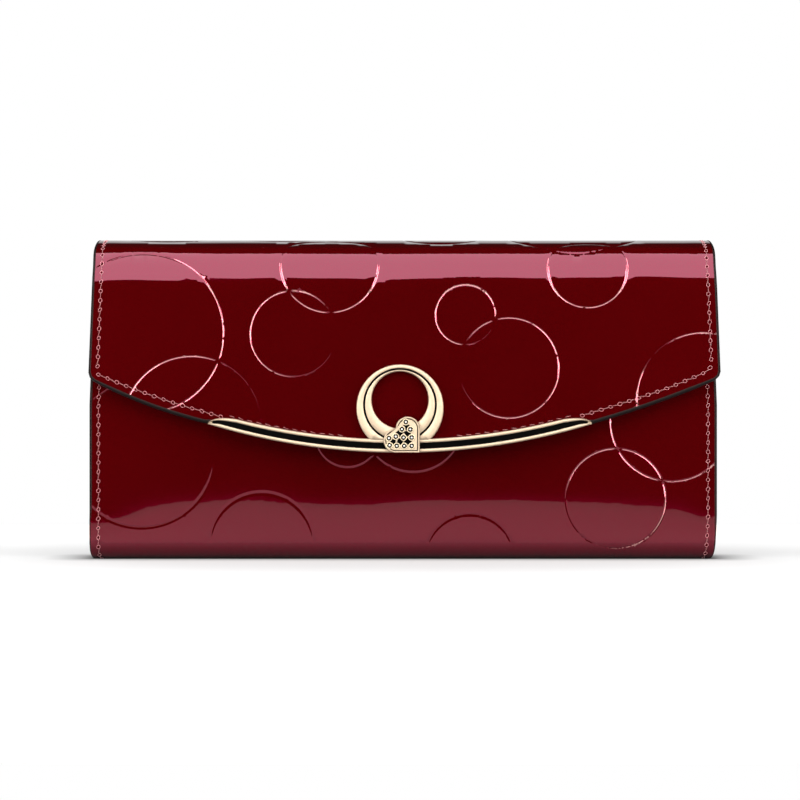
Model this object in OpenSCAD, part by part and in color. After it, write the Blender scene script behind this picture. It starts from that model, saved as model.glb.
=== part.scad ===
// Long flap wallet in patent leather: a folded outer cover, an accordion body with
// card slots and a zip pocket, and a metal trim bar with a ring and a heart.
// X runs along the length, -Y is the front (flap) side, +Z is up.
// The origin is the centre of the flat bottom, under the middle of the flat top.

/* [Body] */
// Width of the front and back panels
body_w = 194.4; // [190:0.2:200]
// Height of the closed wallet
body_h = 100; // [96:0.5:104]
// Depth of the closed wallet, from the flap face to the back face
body_d = 30; // [30:0.1:31]
// Height of the front panel's top edge
front_h = 84; // [80:0.5:86]
// Radius of the two bottom corners, outside
base_r = 5; // [4:0.5:6]

/* [Layers] */
// Thickness of the patent leather
leather_t = 1.0; // [0.8:0.1:1.0]
// Thickness of the stiffening board
board_t = 0.6; // [0.4:0.1:0.6]
// Thickness of the lining
lining_t = 0.6; // [0.4:0.1:0.6]
// Thickness of a card slot strip
slot_t = 0.7; // [0.5:0.1:0.7]
// Space between the flap and the front panel, which the snap fills
flap_gap = 2.0; // [2.0:0.1:2.2]

/* [Top fold] */
// Width of the fold and of the flap's top
fold_w = 192.8; // [188:0.2:194]
// Radius of the fold at the back edge of the top
fold_r_back = 6; // [5:0.5:7]
// Radius of the fold at the front edge of the top
fold_r_front = 6; // [5:0.5:7]
// Radius of the gentle bend from the front edge down into the flap
fold_r_flap = 25; // [22:1:26]

/* [Flap] */
// Width of the flap at its two lower corners
flap_w = 195.2; // [190:0.2:200]
// Height of the flap's lower corners
flap_corner_z = 56.6; // [55:0.2:58]
// Sideways place of the flap on the body
flap_shift = 0.4; // [0:0.1:0.6]

/* [Trim] */
// Sideways place of the metal trim on the body
trim_shift = -1.0; // [-1.5:0.1:1]
// Half the length of the trim bar
bar_half = 59.4; // [56:0.2:62]
// Height of the bar's lower edge at the middle
bar_low_z = 33.2; // [32:0.1:35]
// Height of the bar's upper edge at the middle
bar_top_z = 37.25; // [37:0.05:37.5]
// Radius of the bar's lower edge
bar_low_r = 204; // [202:0.5:206]
// Radius of the bar's upper edge
bar_top_r = 206; // [204:0.5:208]
// Outer radius of the ring
ring_r = 13.5; // [13:0.1:14]
// Radius of the ring's hole
ring_hole_r = 8.8; // [8:0.1:9]
// Side of the heart's square part
heart_s = 7.45; // [7.4:0.05:7.6]

/* [Inside] */
// Height of the zip pocket
pocket_h = 77; // [75:0.5:78]
// Depth of the zip pocket
pocket_d = 6; // [5.8:0.1:6]
// Travel of the zip slider
zip_travel = 164; // [150:1:166]
// Length of the pull tab from its pivot
pull_len = 14; // [12:0.5:14]

/* [Hidden] */

CLEAR = 0.1;            // gap between two pieces that only meet
BIG = 300;              // longer than the wallet, for cutting tools
WINE = [0.36, 0.01, 0.03];
WINE_DULL = [0.30, 0.03, 0.05];
BLACK = [0.03, 0.03, 0.03];
GOLD = [0.90, 0.78, 0.50];
THREAD = [0.62, 0.25, 0.30];

wall_t = leather_t + board_t + lining_t;
front_y = -body_d / 2 + wall_t + flap_gap;      // outer face of the front panel
back_y = body_d / 2;                            // outer face of the back panel
front_in_y = front_y + wall_t;                  // inner face of the front panel
back_in_y = back_y - wall_t;                    // inner face of the back panel
flap_in_y = -body_d / 2 + wall_t;               // inner face of the flap

// Top fold, from the back panel to the flap: a tight back edge, a gently crowned top that
// falls toward the front, a tight front edge and a wide bend into the flap. Each arc ends
// at a turn measured from the back panel, and starts where the one before it ends.
BACK_TURN = 90;
CROWN_TURN = 108;
FRONT_TURN = 155;
crown_r = fold_r_front + (fold_r_back + fold_r_flap - body_d - (fold_r_front - fold_r_flap) * cos(FRONT_TURN))
    / cos(CROWN_TURN);
back_c = [body_d / 2 - fold_r_back, body_h - fold_r_back];
crown_c = [back_c[0], body_h - crown_r];
front_c = crown_c + (crown_r - fold_r_front) * [cos(CROWN_TURN), sin(CROWN_TURN)];
flap_c = front_c + (fold_r_front - fold_r_flap) * [cos(FRONT_TURN), sin(FRONT_TURN)];
fold_z_back = back_c[1];                        // where the back panel starts to bend
fold_z = flap_c[1];                             // where the flap starts to bend
HINGE_STEP = 45;                                // turn of each of the four fold lines
FIRST_HINGE = HINGE_STEP / 2;
ARC_STEP = 7.5;                                 // degrees between two points of an arc
FOLD_GAP = 0.3;                                 // degrees left free beside a fold line

// Zip pocket
pocket_y = -1.8;                                // front face of the pocket
pocket_wall = 0.8;
pocket_z = 4;                                   // underside of the pocket
zip_y = pocket_y + pocket_d / 2;                // middle of the zip
seam_x = 95.5;                                  // outer edge of every inner panel
TEETH_PITCH = 2.5;
tooth = [1.0, 1.2, 1.4];
ZIP_SLIT = 0.6;                                 // between the two rows, where the slider's neck runs
zip_z = pocket_h - 1;                           // middle height of the teeth
slider_x = -zip_travel / 2;

// Gussets: one V pleat at each side of the pocket
pleat_x = 84;                                   // how far in a pleat reaches
pleat_root_x = 90.4;
pleat_t = 0.6;
pleat_h = 74;

// Snap
snap_z = 46;
snap_r = 7;
STUD_R = 1.8;
SOCKET_HOLE_R = 2.6;

// Trim
bar_face_y = -body_d / 2 - 1.6;
bar_lip = 0.9;                                  // metal under the flap's edge
rim = 1.1;
inlay_t = 0.5;
ring_z = bar_low_z + 13.8;
hole_z = ring_z + 2.5;
groove_z = ring_z + 1.0;
groove_r = 11.1;
GROOVE_W = 0.5;
heart_t = 1.4;
heart_x = trim_shift + 6.1;                     // the heart's tip, at the lower right
stone_r = 0.9;
SCREW_X = 34;

STITCH = 2.3;
STITCH_PITCH = 3.2;
STITCH_INSET = 2.5;
STITCH_T = 0.3;

// ---- helpers ----

// A point of the fold's outer face at turn a, pushed n inwards. a runs from 0 at
// the back panel to 180 at the flap.
function fold_point(a, n) = let (
    c = a < BACK_TURN ? back_c : a < CROWN_TURN ? crown_c : a < FRONT_TURN ? front_c : flap_c,
    r = a < BACK_TURN ? fold_r_back : a < CROWN_TURN ? crown_r : a < FRONT_TURN ? fold_r_front : fold_r_flap
) c + (r - n) * [cos(a), sin(a)];
// Turns from a0 to a1, with every change of arc among them
function stops(a0, a1) = concat([a0], [for (a = [BACK_TURN, CROWN_TURN, FRONT_TURN]) if (a > a0 && a < a1) a], [a1]);
function steps(v) = [for (i = [0 : len(v) - 2]) let (n = ceil((v[i + 1] - v[i]) / ARC_STEP)) for (j = [0 : n - 1])
    v[i] + (v[i + 1] - v[i]) * j / n];
function fold_line(a0, a1, n) = [for (a = concat(steps(stops(a0, a1)), [a1])) fold_point(a, n)];
function reversed(v) = [for (i = [len(v) - 1 : -1 : 0]) v[i]];
function band(outer, inner) = concat(outer, reversed(inner));
function arc_points(c, r, a0, a1, n) = [for (i = [0 : n])
    let (a = a0 + (a1 - a0) * i / n) [c[0] + r * cos(a), c[1] + r * sin(a)]];

// Height of the trim bar's lower edge at x, or of a line that runs inside it
function bar_low(x, inside = 0) = bar_low_z + bar_low_r - sqrt(pow(bar_low_r - inside, 2) - pow(x, 2));

// Extrudes a (y, z) outline along the length, centred
module along_x(width) {
    rotate([90, 0, 90]) translate([0, 0, -width / 2]) linear_extrude(width) children();
}

// Extrudes an (x, z) outline from y0 back to y1
module along_y(y0, y1) {
    translate([0, y1, 0]) rotate([90, 0, 0]) linear_extrude(y1 - y0) children();
}

// A panel standing in the XZ plane
module panel(half_w, y0, y1, z0, z1) {
    translate([-half_w, y0, z0]) cube([2 * half_w, y1 - y0, z1 - z0]);
}

// A round rod or hole along Y
module rod_y(r, y0, y1, fn = 48) {
    translate([0, y1, 0]) rotate([90, 0, 0]) cylinder(r = r, h = y1 - y0, $fn = fn);
}

module fold_band(a0, a1, n0, n1, width) {
    along_x(width) polygon(band(fold_line(a0, a1, n0), fold_line(a0, a1, n1)));
}

// ---- back and bottom of the cover ----

module back_layer(n0, n1, half_w, z0) {
    outer = concat([[back_y - n0, z0]], fold_line(0, FIRST_HINGE - FOLD_GAP, n0));
    inner = concat([[back_y - n1, z0]], fold_line(0, FIRST_HINGE - FOLD_GAP, n1));
    intersection() {
        along_x(2 * half_w) polygon(band(outer, inner));
        panel_taper(half_w);
    }
}

// The back narrows a little from the body's width to the fold's
module panel_taper(half_w) {
    slim = (body_w - fold_w) / 2;
    along_y(-BIG / 2, BIG / 2) polygon([
        [-half_w, -1], [half_w, -1], [half_w, 20], [half_w - slim, body_h + 1], [slim - half_w, body_h + 1],
        [-half_w, 20]
    ]);
}

module back_leather() {
    color(WINE) back_layer(0, leather_t, body_w / 2, base_r);
}

module bottom_leather() {
    near = [front_y + base_r, base_r];
    far = [back_y - base_r, base_r];
    inner_r = base_r - leather_t;
    outer = concat(arc_points(near, base_r, 180, 270, 8), arc_points(far, base_r, 270, 360, 8));
    inner = concat(arc_points(near, inner_r, 180, 270, 8), arc_points(far, inner_r, 270, 360, 8));
    color(WINE) intersection() {
        along_x(body_w) polygon(band(outer, inner));
        translate([-BIG / 2, -BIG / 2, 0]) cube([BIG, BIG, base_r - CLEAR / 2]);
    }
}

module back_board() {
    color("dimgray") panel(94, back_y - leather_t - board_t, back_y - leather_t, base_r + 1, fold_z_back);
}

module bottom_board() {
    color("dimgray") translate([-94, front_y + base_r, leather_t])
        cube([188, body_d - 2 * base_r - (front_y + body_d / 2), board_t]);
}

module back_lining() {
    color(WINE_DULL) back_layer(leather_t + board_t, wall_t, 96, base_r + 1);
}

module bottom_lining() {
    color(WINE_DULL) translate([-96, front_y + base_r, leather_t + board_t])
        cube([192, body_d - 2 * base_r - (front_y + body_d / 2), lining_t]);
}

// Card slot strips on the back wall, each lower and further forward than the last
REAR_SLOT_TOP = [76, 65, 54, 43];
SLOT_HALF_W = 90;
SLOT_BASE_Z = 9;

module rear_card_slot(i) {
    y1 = back_in_y - i * slot_t;
    color(WINE_DULL) panel(SLOT_HALF_W, y1 - slot_t, y1, SLOT_BASE_Z, REAR_SLOT_TOP[i]);
}

// Right-hand V pleat between two faces y0 < y1; the shelf keeps the pleat clear of card strips.
// shelf is at the y1 side, or at the y0 side when to_front is true.
module pleat(y0, y1, shelf, to_front) {
    near = to_front ? y0 + shelf : y0;
    far = to_front ? y1 : y1 - shelf;
    mid = (near + far) / 2;
    tip = pleat_t * 2;
    translate([0, 0, pocket_z]) linear_extrude(pleat_h) polygon([
        [seam_x, y1], [pleat_root_x, y1], [pleat_root_x, far], [pleat_x, mid], [pleat_root_x, near],
        [pleat_root_x, y0], [seam_x, y0], [seam_x, y0 + pleat_t], [pleat_root_x + pleat_t, y0 + pleat_t],
        [pleat_root_x + pleat_t, near + pleat_t], [pleat_x + tip, mid],
        [pleat_root_x + pleat_t, far - pleat_t], [pleat_root_x + pleat_t, y1 - pleat_t], [seam_x, y1 - pleat_t]
    ]);
}

module rear_gusset() {
    color(BLACK) pleat(pocket_y + pocket_d + 2 * CLEAR, back_in_y, 4 * slot_t + 0.8, false);
}

module front_gusset() {
    color(BLACK) pleat(front_in_y + 3 * CLEAR, pocket_y, 2 * slot_t, true);
}

// ---- stitching ----

// A line of stitches from p to q in (x, z), lying on the face at y, on the side of out
module stitch_line(p, q, y, out) {
    d = q - p;
    length = norm(d);
    count = floor(length / STITCH_PITCH);
    tilt = atan2(d[1], d[0]);
    for (i = [0 : count - 1]) {
        at = p + d * ((i + 0.5) / count);
        translate([at[0], y + out * (STITCH_T / 2 + 0.02), at[1]]) rotate([0, -tilt, 0])
            cube([STITCH, STITCH_T, 0.5], center = true);
    }
}

module back_stitching() {
    x = body_w / 2 - STITCH_INSET - 0.4;
    color(THREAD) for (side = [-1, 1]) stitch_line([side * x, 8], [side * x, fold_z_back], back_y, 1);
}

module front_stitching() {
    x = body_w / 2 - STITCH_INSET;
    color(THREAD) for (side = [-1, 1]) stitch_line([side * x, 7], [side * x, front_h - 1], front_y, -1);
}

// ---- zip pocket ----

module pocket_front_wall() {
    color(WINE_DULL) panel(seam_x, pocket_y, pocket_y + pocket_wall, pocket_z, pocket_h);
}

module pocket_rear_wall() {
    color(WINE_DULL) panel(seam_x, pocket_y + pocket_d - pocket_wall, pocket_y + pocket_d, pocket_z, pocket_h);
}

module pocket_side_seams() {
    color(WINE_DULL) for (side = [-1, 1])
        translate([side > 0 ? seam_x - 2 : -seam_x, pocket_y + pocket_wall, pocket_z])
            cube([2, pocket_d - 2 * pocket_wall, pocket_h - pocket_z]);
}

module pocket_floor() {
    color(WINE_DULL) panel(seam_x - 2, pocket_y + pocket_wall, pocket_y + pocket_d - pocket_wall, pocket_z,
        pocket_z + pocket_wall);
}

// Each tape reaches from its wall to the inside ends of its teeth
module zip_tape(side) {
    inner = ZIP_SLIT / 2 + tooth[1];
    outer = pocket_d / 2 - pocket_wall;
    color(BLACK) translate([0, zip_y, 0]) panel(seam_x - 2, side > 0 ? inner : -outer, side > 0 ? outer : -inner,
        zip_z - 0.3, zip_z + 0.3);
}

// The teeth of one side; the other side stands half a pitch along
module zip_teeth(side) {
    count = floor(zip_travel / TEETH_PITCH);
    start = -zip_travel / 2 + (side > 0 ? TEETH_PITCH / 2 : 0);
    y = zip_y + (side > 0 ? ZIP_SLIT / 2 : -ZIP_SLIT / 2 - tooth[1]);
    color(GOLD) for (i = [0 : count - 1])
        translate([start + i * TEETH_PITCH, y, zip_z - tooth[2] / 2]) cube(tooth);
}

// Bent metal stops at the ends of both tapes
module zip_stops() {
    reach = zip_travel / 2 + 6.5;
    color(GOLD) for (side = [-1, 1]) for (row = [-1, 1])
        translate([side * reach, zip_y + row * 1.4, zip_z + 0.32]) translate([-1, -0.4, 0]) cube([2, 0.8, 0.9]);
}

// Slider: two plates above and below the teeth, joined by a thin neck that runs between
// the rows, and a bridge that holds the pull
PLATE_T = 0.8;
PLATE_LEN = 8.4;
PLATE_W = 3.6;
NECK_W = 0.4;
BRIDGE_W = 1.3;
BRIDGE_H = 2.4;
PIVOT_R = 0.5;
plate_gap = tooth[2] / 2 + 0.35;
bridge_z = zip_z + plate_gap + PLATE_T;
pivot_z = bridge_z + 1.15;

module slider_plate(z) {
    half = PLATE_LEN / 2;
    side = PLATE_W / 2;
    translate([slider_x, zip_y, z]) linear_extrude(PLATE_T) polygon([
        [-half + 1, -side], [half - 1.6, -side], [half, -side / 2],
        [half, side / 2], [half - 1.6, side], [-half + 1, side], [-half, side / 2], [-half, -side / 2]
    ]);
}

module zip_slider() {
    color(GOLD) difference() {
        union() {
            slider_plate(zip_z + plate_gap);
            slider_plate(zip_z - plate_gap - PLATE_T);
            translate([slider_x - PLATE_LEN / 2, zip_y - NECK_W / 2, zip_z - plate_gap - 0.1])
                cube([2, NECK_W, 2 * plate_gap + 0.2]);
            translate([slider_x - 3, zip_y - BRIDGE_W / 2, bridge_z - 0.1]) cube([6, BRIDGE_W, BRIDGE_H]);
        }
        translate([slider_x, zip_y, pivot_z]) rod_y(PIVOT_R + 0.08, -3, 3);
    }
}

// Pull tab: a cross rod under the bridge, two arms beside it and a flat tab
module zip_pull() {
    arm_y = 1.0;
    arm_w = 1.0;
    color(GOLD) translate([slider_x, zip_y, pivot_z]) {
        rod_y(PIVOT_R, -arm_y - arm_w, arm_y + arm_w);
        for (side = [-1, 1])
            translate([-0.4, side > 0 ? arm_y : -arm_y - arm_w, -0.4]) cube([5.4, arm_w, 0.8]);
        difference() {
            translate([4.4, -2.6, -0.4]) cube([pull_len - 4.4, 5.2, 0.8]);
            translate([pull_len - 3, 0, -1]) cylinder(r = 1.2, h = 2, $fn = 32);
        }
    }
}

// ---- front panel ----

module snap_hole(r) {
    translate([trim_shift, 0, snap_z]) rod_y(r, -BIG / 2, BIG / 2);
}

module front_leather() {
    color(WINE) difference() {
        panel(body_w / 2, front_y, front_y + leather_t, base_r + CLEAR / 2, front_h);
        snap_hole(SOCKET_HOLE_R);
    }
}

module front_board() {
    color("dimgray") difference() {
        panel(94, front_y + leather_t, front_y + leather_t + board_t, base_r + 1, front_h - 2);
        snap_hole(snap_r - 0.6);
    }
}

module front_lining() {
    color(WINE_DULL) panel(96, front_in_y - lining_t, front_in_y, base_r + 1, front_h);
}

FRONT_SLOT_TOP = [74, 62];
module front_card_slot(i) {
    y0 = front_in_y + i * slot_t;
    color(WINE_DULL) panel(SLOT_HALF_W, y0, y0 + slot_t, SLOT_BASE_Z, FRONT_SLOT_TOP[i]);
}

module snap_socket() {
    color(GOLD) translate([trim_shift, 0, snap_z]) difference() {
        rod_y(snap_r, front_y - 1, front_y);
        rod_y(SOCKET_HOLE_R, front_y - 2, front_y + 1);
    }
}

module snap_socket_washer() {
    color("silver") translate([trim_shift, 0, snap_z])
        rod_y(snap_r - 1, front_y + leather_t, front_y + leather_t + board_t);
}

// ---- top fold ----

// Turn at the start of fold piece i
function piece_start(i) = FIRST_HINGE + i * HINGE_STEP;

module fold_leather(i) {
    color(WINE) fold_band(piece_start(i) + FOLD_GAP, piece_start(i + 1) - FOLD_GAP, 0, leather_t, fold_w);
}

module fold_lining(i) {
    color(WINE_DULL) fold_band(piece_start(i) + FOLD_GAP, piece_start(i + 1) - FOLD_GAP, leather_t, wall_t,
        fold_w - 2);
}

// ---- flap ----

// Height of the flap's edge over the bar at x, measured from the bar's middle
function flap_edge(x) = bar_low(x, bar_lip + CLEAR / 2);
CORNER_R = 3;
SLOPE_BOW = 0.9;                                // how far the flap's sloping edges bow out

// Flap outline in (x, z), centred on the flap; inset pulls the whole outline in
module flap_outline(inset) {
    top_x = fold_w / 2 - inset;
    low_x = flap_w / 2 - inset;
    corner_z = flap_corner_z + inset;
    off = trim_shift - flap_shift;
    slope = atan2(flap_corner_z - bar_low(bar_half), flap_w / 2 - bar_half);
    // the corner is an arc between the side and the sloping edge
    c = [low_x - CORNER_R, corner_z + CORNER_R * (1 / cos(slope)) - CORNER_R * tan(slope)];
    turn = atan2(4 * SLOPE_BOW, flap_w / 2 - bar_half);
    corner = arc_points(c, CORNER_R, -90 + slope + turn, 0, 6);
    // the sloping edges bow out between the bar's tips and the corners
    bows = [for (side = [-1, 1]) let (
        tip = [off + side * bar_half, bar_low(bar_half) + inset], end = [side * corner[0][0], corner[0][1]])
        [for (t = [0.2 : 0.2 : 0.8])
            tip * (1 - t) + end * t + SLOPE_BOW * 4 * t * (1 - t) * [side * sin(slope), -cos(slope)]]];
    right = concat(bows[1], corner);
    left = concat([for (p = reversed(corner)) [-p[0], p[1]]], reversed(bows[0]));
    under = [for (i = [0 : 24]) let (x = -bar_half + 2 * bar_half * i / 24) [x + off, flap_edge(x) + inset]];
    polygon(concat(
        [[-top_x, body_h]], left, [[off - bar_half, bar_low(bar_half) + inset]], under,
        [[off + bar_half, bar_low(bar_half) + inset]], right, [[top_x, body_h]]
    ));
}

module flap_layer(n0, n1, inset) {
    a0 = piece_start(3) + FOLD_GAP;
    outer = concat(fold_line(a0, 180, n0), [[-body_d / 2 + n0, 20]]);
    inner = concat(fold_line(a0, 180, n1), [[-body_d / 2 + n1, 20]]);
    intersection() {
        along_x(BIG) polygon(band(outer, inner));
        translate([flap_shift, 0, 0]) along_y(-BIG / 2, BIG / 2) flap_outline(inset);
    }
}

module screw_holes(r) {
    for (side = [-1, 1]) translate([trim_shift + side * SCREW_X, 0, screw_z()]) rod_y(r, -BIG / 2, BIG / 2, 24);
}

function screw_z() = bar_low(SCREW_X) + bar_lip + 1.6;

module flap_leather() {
    color(WINE) difference() {
        flap_layer(0, leather_t, 0);
        screw_holes(0.9);
    }
}

module flap_board() {
    color("dimgray") difference() {
        flap_layer(leather_t, leather_t + board_t, 4);
        snap_hole(snap_r - 0.6);
    }
}

module flap_lining() {
    color(WINE_DULL) difference() {
        flap_layer(leather_t + board_t, wall_t, 0);
        screw_holes(0.9);
        snap_hole(STUD_R - 0.4);
    }
}

module flap_stitching() {
    off = trim_shift - flap_shift;
    inset = STITCH_INSET;
    corner = [flap_w / 2 - inset, flap_corner_z + inset];
    top = [fold_w / 2 - inset, fold_z];
    tip = [bar_half - 3.4, bar_low(bar_half) + inset + 1.1];
    color(THREAD) translate([flap_shift, 0, 0]) for (side = [-1, 1]) {
        stitch_line([side * corner[0], corner[1] + 1], [side * top[0], top[1]], -body_d / 2, -1);
        stitch_line([side * corner[0], corner[1]], [side * tip[0] + off, tip[1]], -body_d / 2, -1);
    }
}

// ---- metal trim ----

// Everything above a line that runs the given distance inside the bar's lower edge
module above_low(inside) {
    translate([0, bar_low_z + bar_low_r]) circle(r = bar_low_r - inside, $fn = 720);
}

// Everything above a line that runs the given distance inside the bar's upper edge
module above_top(inside) {
    translate([0, bar_top_z + bar_top_r]) circle(r = bar_top_r + inside, $fn = 720);
}

// A strip across the trim that ends in slanted tips at half its length
module tips(half) {
    low = bar_low(half);
    polygon([
        [-half, low - BIG / 10], [half, low - BIG / 10], [half, low], [half - 0.8, low + 0.6], [half - 2.4, low + 1.05],
        [half - 4.6, low + 1.35], [half - 9.5, low + 1.45], [half - 9.5, low + 10], [9.5 - half, low + 10],
        [9.5 - half, low + 1.45], [4.6 - half, low + 1.35], [2.4 - half, low + 1.05], [0.8 - half, low + 0.6], [-half, low]
    ]);
}

module bar_outline() {
    intersection() {
        difference() {
            above_low(0);
            above_top(0);
        }
        tips(bar_half);
    }
}

module inlay_outline() {
    intersection() {
        difference() {
            above_low(rim);
            above_top(rim);
        }
        tips(bar_half - 2.4);
    }
}

// A strip that follows the bar's lower edge, width wide
module edge_strip(width) {
    intersection() {
        difference() {
            above_low(0);
            above_low(width);
        }
        square([2 * bar_half - 12, 4 * bar_low_z], center = true);
    }
}

// The bar, with a lip under the flap's edge and a flange behind the flap
module trim_bar() {
    back = -body_d / 2;
    color(GOLD) translate([trim_shift, 0, 0]) {
        difference() {
            along_y(bar_face_y, back) bar_outline();
            along_y(bar_face_y - 1, bar_face_y + inlay_t) inlay_outline();
        }
        along_y(back, flap_in_y) edge_strip(bar_lip);
        along_y(flap_in_y, flap_in_y + 0.6) edge_strip(bar_lip + 3.2);
    }
}

module trim_bar_inlay() {
    color(BLACK) translate([trim_shift, 0, 0]) along_y(bar_face_y + 0.1, bar_face_y + inlay_t) inlay_outline();
}

module disc(r, z) {
    translate([0, z]) circle(r = r, $fn = 96);
}

// The ring is thick below and thin above, and stands on the bar's upper edge
module ring_outline() {
    intersection() {
        difference() {
            disc(ring_r, ring_z);
            disc(ring_hole_r, hole_z);
        }
        above_top(-0.03);
    }
}

module groove_outline() {
    intersection() {
        difference() {
            disc(groove_r + GROOVE_W / 2, groove_z);
            disc(groove_r - GROOVE_W / 2, groove_z);
        }
        above_top(0);
    }
}

module trim_ring() {
    color(GOLD) translate([trim_shift, 0, 0]) difference() {
        along_y(bar_face_y, -body_d / 2) ring_outline();
        along_y(bar_face_y - 1, bar_face_y + inlay_t) groove_outline();
    }
}

module trim_ring_inlay() {
    color(BLACK) translate([trim_shift, 0, 0]) along_y(bar_face_y + 0.1, bar_face_y + inlay_t) groove_outline();
}

// Screws through the flap into the bar
module trim_screws() {
    color("silver") for (side = [-1, 1]) translate([trim_shift + side * SCREW_X, 0, screw_z()]) {
        rod_y(0.7, -body_d / 2 + 0.02, flap_in_y - 0.02, 24);
        rod_y(1.3, flap_in_y + 0.62, flap_in_y + 1.1, 24);
    }
}

// Heart: a square and two half discs; its tip is the square's lower right corner
module heart_outline(gap) {
    s = heart_s;
    translate([heart_x - trim_shift, bar_low_z]) {
        translate([-s, 0]) square(s);
        translate([-s / 2, s]) circle(r = s / 2, $fn = 64);
        translate([-s, s / 2]) circle(r = s / 2, $fn = 64);
    }
}

// Places of the stones from the heart's tip, in rows that follow its shape
STONES = [
    [-2.5, 2.1], [-4.8, 2.1], [-7.1, 2.1], [-9.3, 2.3], [-2.5, 4.7], [-5.0, 4.7],
    [-7.4, 5.0], [-9.5, 4.5], [-2.9, 7.2], [-5.5, 7.3], [-4.3, 9.5]
];

module heart_setting() {
    color(GOLD) difference() {
        translate([trim_shift, 0, 0]) along_y(bar_face_y - heart_t, bar_face_y) heart_outline(0);
        for (p = STONES) translate([heart_x + p[0], 0, bar_low_z + p[1]])
            rod_y(stone_r, bar_face_y - heart_t - 1, bar_face_y - heart_t + 0.5, 24);
    }
}

module heart_stones() {
    face = bar_face_y - heart_t;
    color("white") for (p = STONES) translate([heart_x + p[0], 0, bar_low_z + p[1]])
        rod_y(stone_r - 0.05, face - 0.15, face + 0.45, 24);
}

// ---- snap stud in the flap ----

module snap_stud() {
    color(GOLD) translate([trim_shift, 0, snap_z]) {
        rod_y(snap_r, flap_in_y, flap_in_y + 0.8);
        rod_y(STUD_R, flap_in_y + 0.7, front_y + 0.6);
        rod_y(STUD_R - 0.5, flap_in_y - lining_t, flap_in_y + 0.1);
    }
}

module snap_stud_washer() {
    color("silver") translate([trim_shift, 0, snap_z])
        rod_y(snap_r - 1, flap_in_y - lining_t - board_t, flap_in_y - lining_t);
}

back_leather();
bottom_leather();
back_board();
bottom_board();
back_lining();
bottom_lining();
rear_card_slot(0);  // rear_card_slot_1
rear_card_slot(1);  // rear_card_slot_2
rear_card_slot(2);  // rear_card_slot_3
rear_card_slot(3);  // rear_card_slot_4
mirror([1, 0, 0]) rear_gusset();  // rear_gusset_left
rear_gusset();  // rear_gusset_right
back_stitching();
pocket_front_wall();
pocket_rear_wall();
pocket_side_seams();
pocket_floor();
mirror([1, 0, 0]) front_gusset();  // front_gusset_left
front_gusset();  // front_gusset_right
zip_tape(-1);  // zip_tape_front
zip_tape(1);  // zip_tape_rear
zip_teeth(-1);  // zip_teeth_front
zip_teeth(1);  // zip_teeth_rear
zip_stops();
zip_slider();
zip_pull();
front_leather();
front_board();
front_lining();
front_card_slot(0);  // front_card_slot_1
front_card_slot(1);  // front_card_slot_2
snap_socket();
snap_socket_washer();
front_stitching();
fold_leather(0);  // fold_leather_1
fold_lining(0);  // fold_lining_1
fold_leather(1);  // fold_leather_2
fold_lining(1);  // fold_lining_2
fold_leather(2);  // fold_leather_3
fold_lining(2);  // fold_lining_3
flap_leather();
flap_board();
flap_lining();
flap_stitching();
trim_bar();
trim_bar_inlay();
trim_ring();
trim_ring_inlay();
trim_screws();
heart_setting();
heart_stones();
snap_stud();
snap_stud_washer();
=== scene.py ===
"""Long flap wallet in embossed patent leather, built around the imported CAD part.

All sizes below are in millimetres; MM turns them into Blender's metres. The cover (front panel,
bottom, back, top fold and flap) is one strip. A place on it is (x, s): x along the wallet and
s along the strip's cross-section, 0 where the back panel starts to bend into the top fold,
growing over the top toward the flap's tip and falling down the back toward the front panel.
"""

import math

import bmesh
import bpy
import numpy as np
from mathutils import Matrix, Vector
from mathutils.geometry import delaunay_2d_cdt


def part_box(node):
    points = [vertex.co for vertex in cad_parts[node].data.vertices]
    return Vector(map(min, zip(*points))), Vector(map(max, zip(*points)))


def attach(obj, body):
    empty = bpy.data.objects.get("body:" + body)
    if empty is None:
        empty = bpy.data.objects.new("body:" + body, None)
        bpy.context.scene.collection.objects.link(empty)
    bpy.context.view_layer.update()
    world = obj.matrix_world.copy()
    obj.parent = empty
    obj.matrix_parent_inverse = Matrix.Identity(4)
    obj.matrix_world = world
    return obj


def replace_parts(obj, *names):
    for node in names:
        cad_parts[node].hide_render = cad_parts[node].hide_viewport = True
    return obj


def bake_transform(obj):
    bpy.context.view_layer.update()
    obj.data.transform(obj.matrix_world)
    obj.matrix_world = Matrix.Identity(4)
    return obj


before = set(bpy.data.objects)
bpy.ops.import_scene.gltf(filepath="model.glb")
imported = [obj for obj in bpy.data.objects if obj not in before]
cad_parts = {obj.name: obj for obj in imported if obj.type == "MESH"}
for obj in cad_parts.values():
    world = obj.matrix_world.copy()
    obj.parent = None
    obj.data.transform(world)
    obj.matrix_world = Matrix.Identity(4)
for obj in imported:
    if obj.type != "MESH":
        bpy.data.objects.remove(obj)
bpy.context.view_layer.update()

MM = 0.001


def low_of(node):
    """Lowest corner of a CAD node, in mm."""
    return np.array(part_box(node)[0]) / MM


def high_of(node):
    """Highest corner of a CAD node, in mm."""
    return np.array(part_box(node)[1]) / MM


def circle(count):
    """Angles evenly round a full turn."""
    return np.linspace(0, 2 * math.pi, count, endpoint=False)


# ---- sizes from the frame

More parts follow.
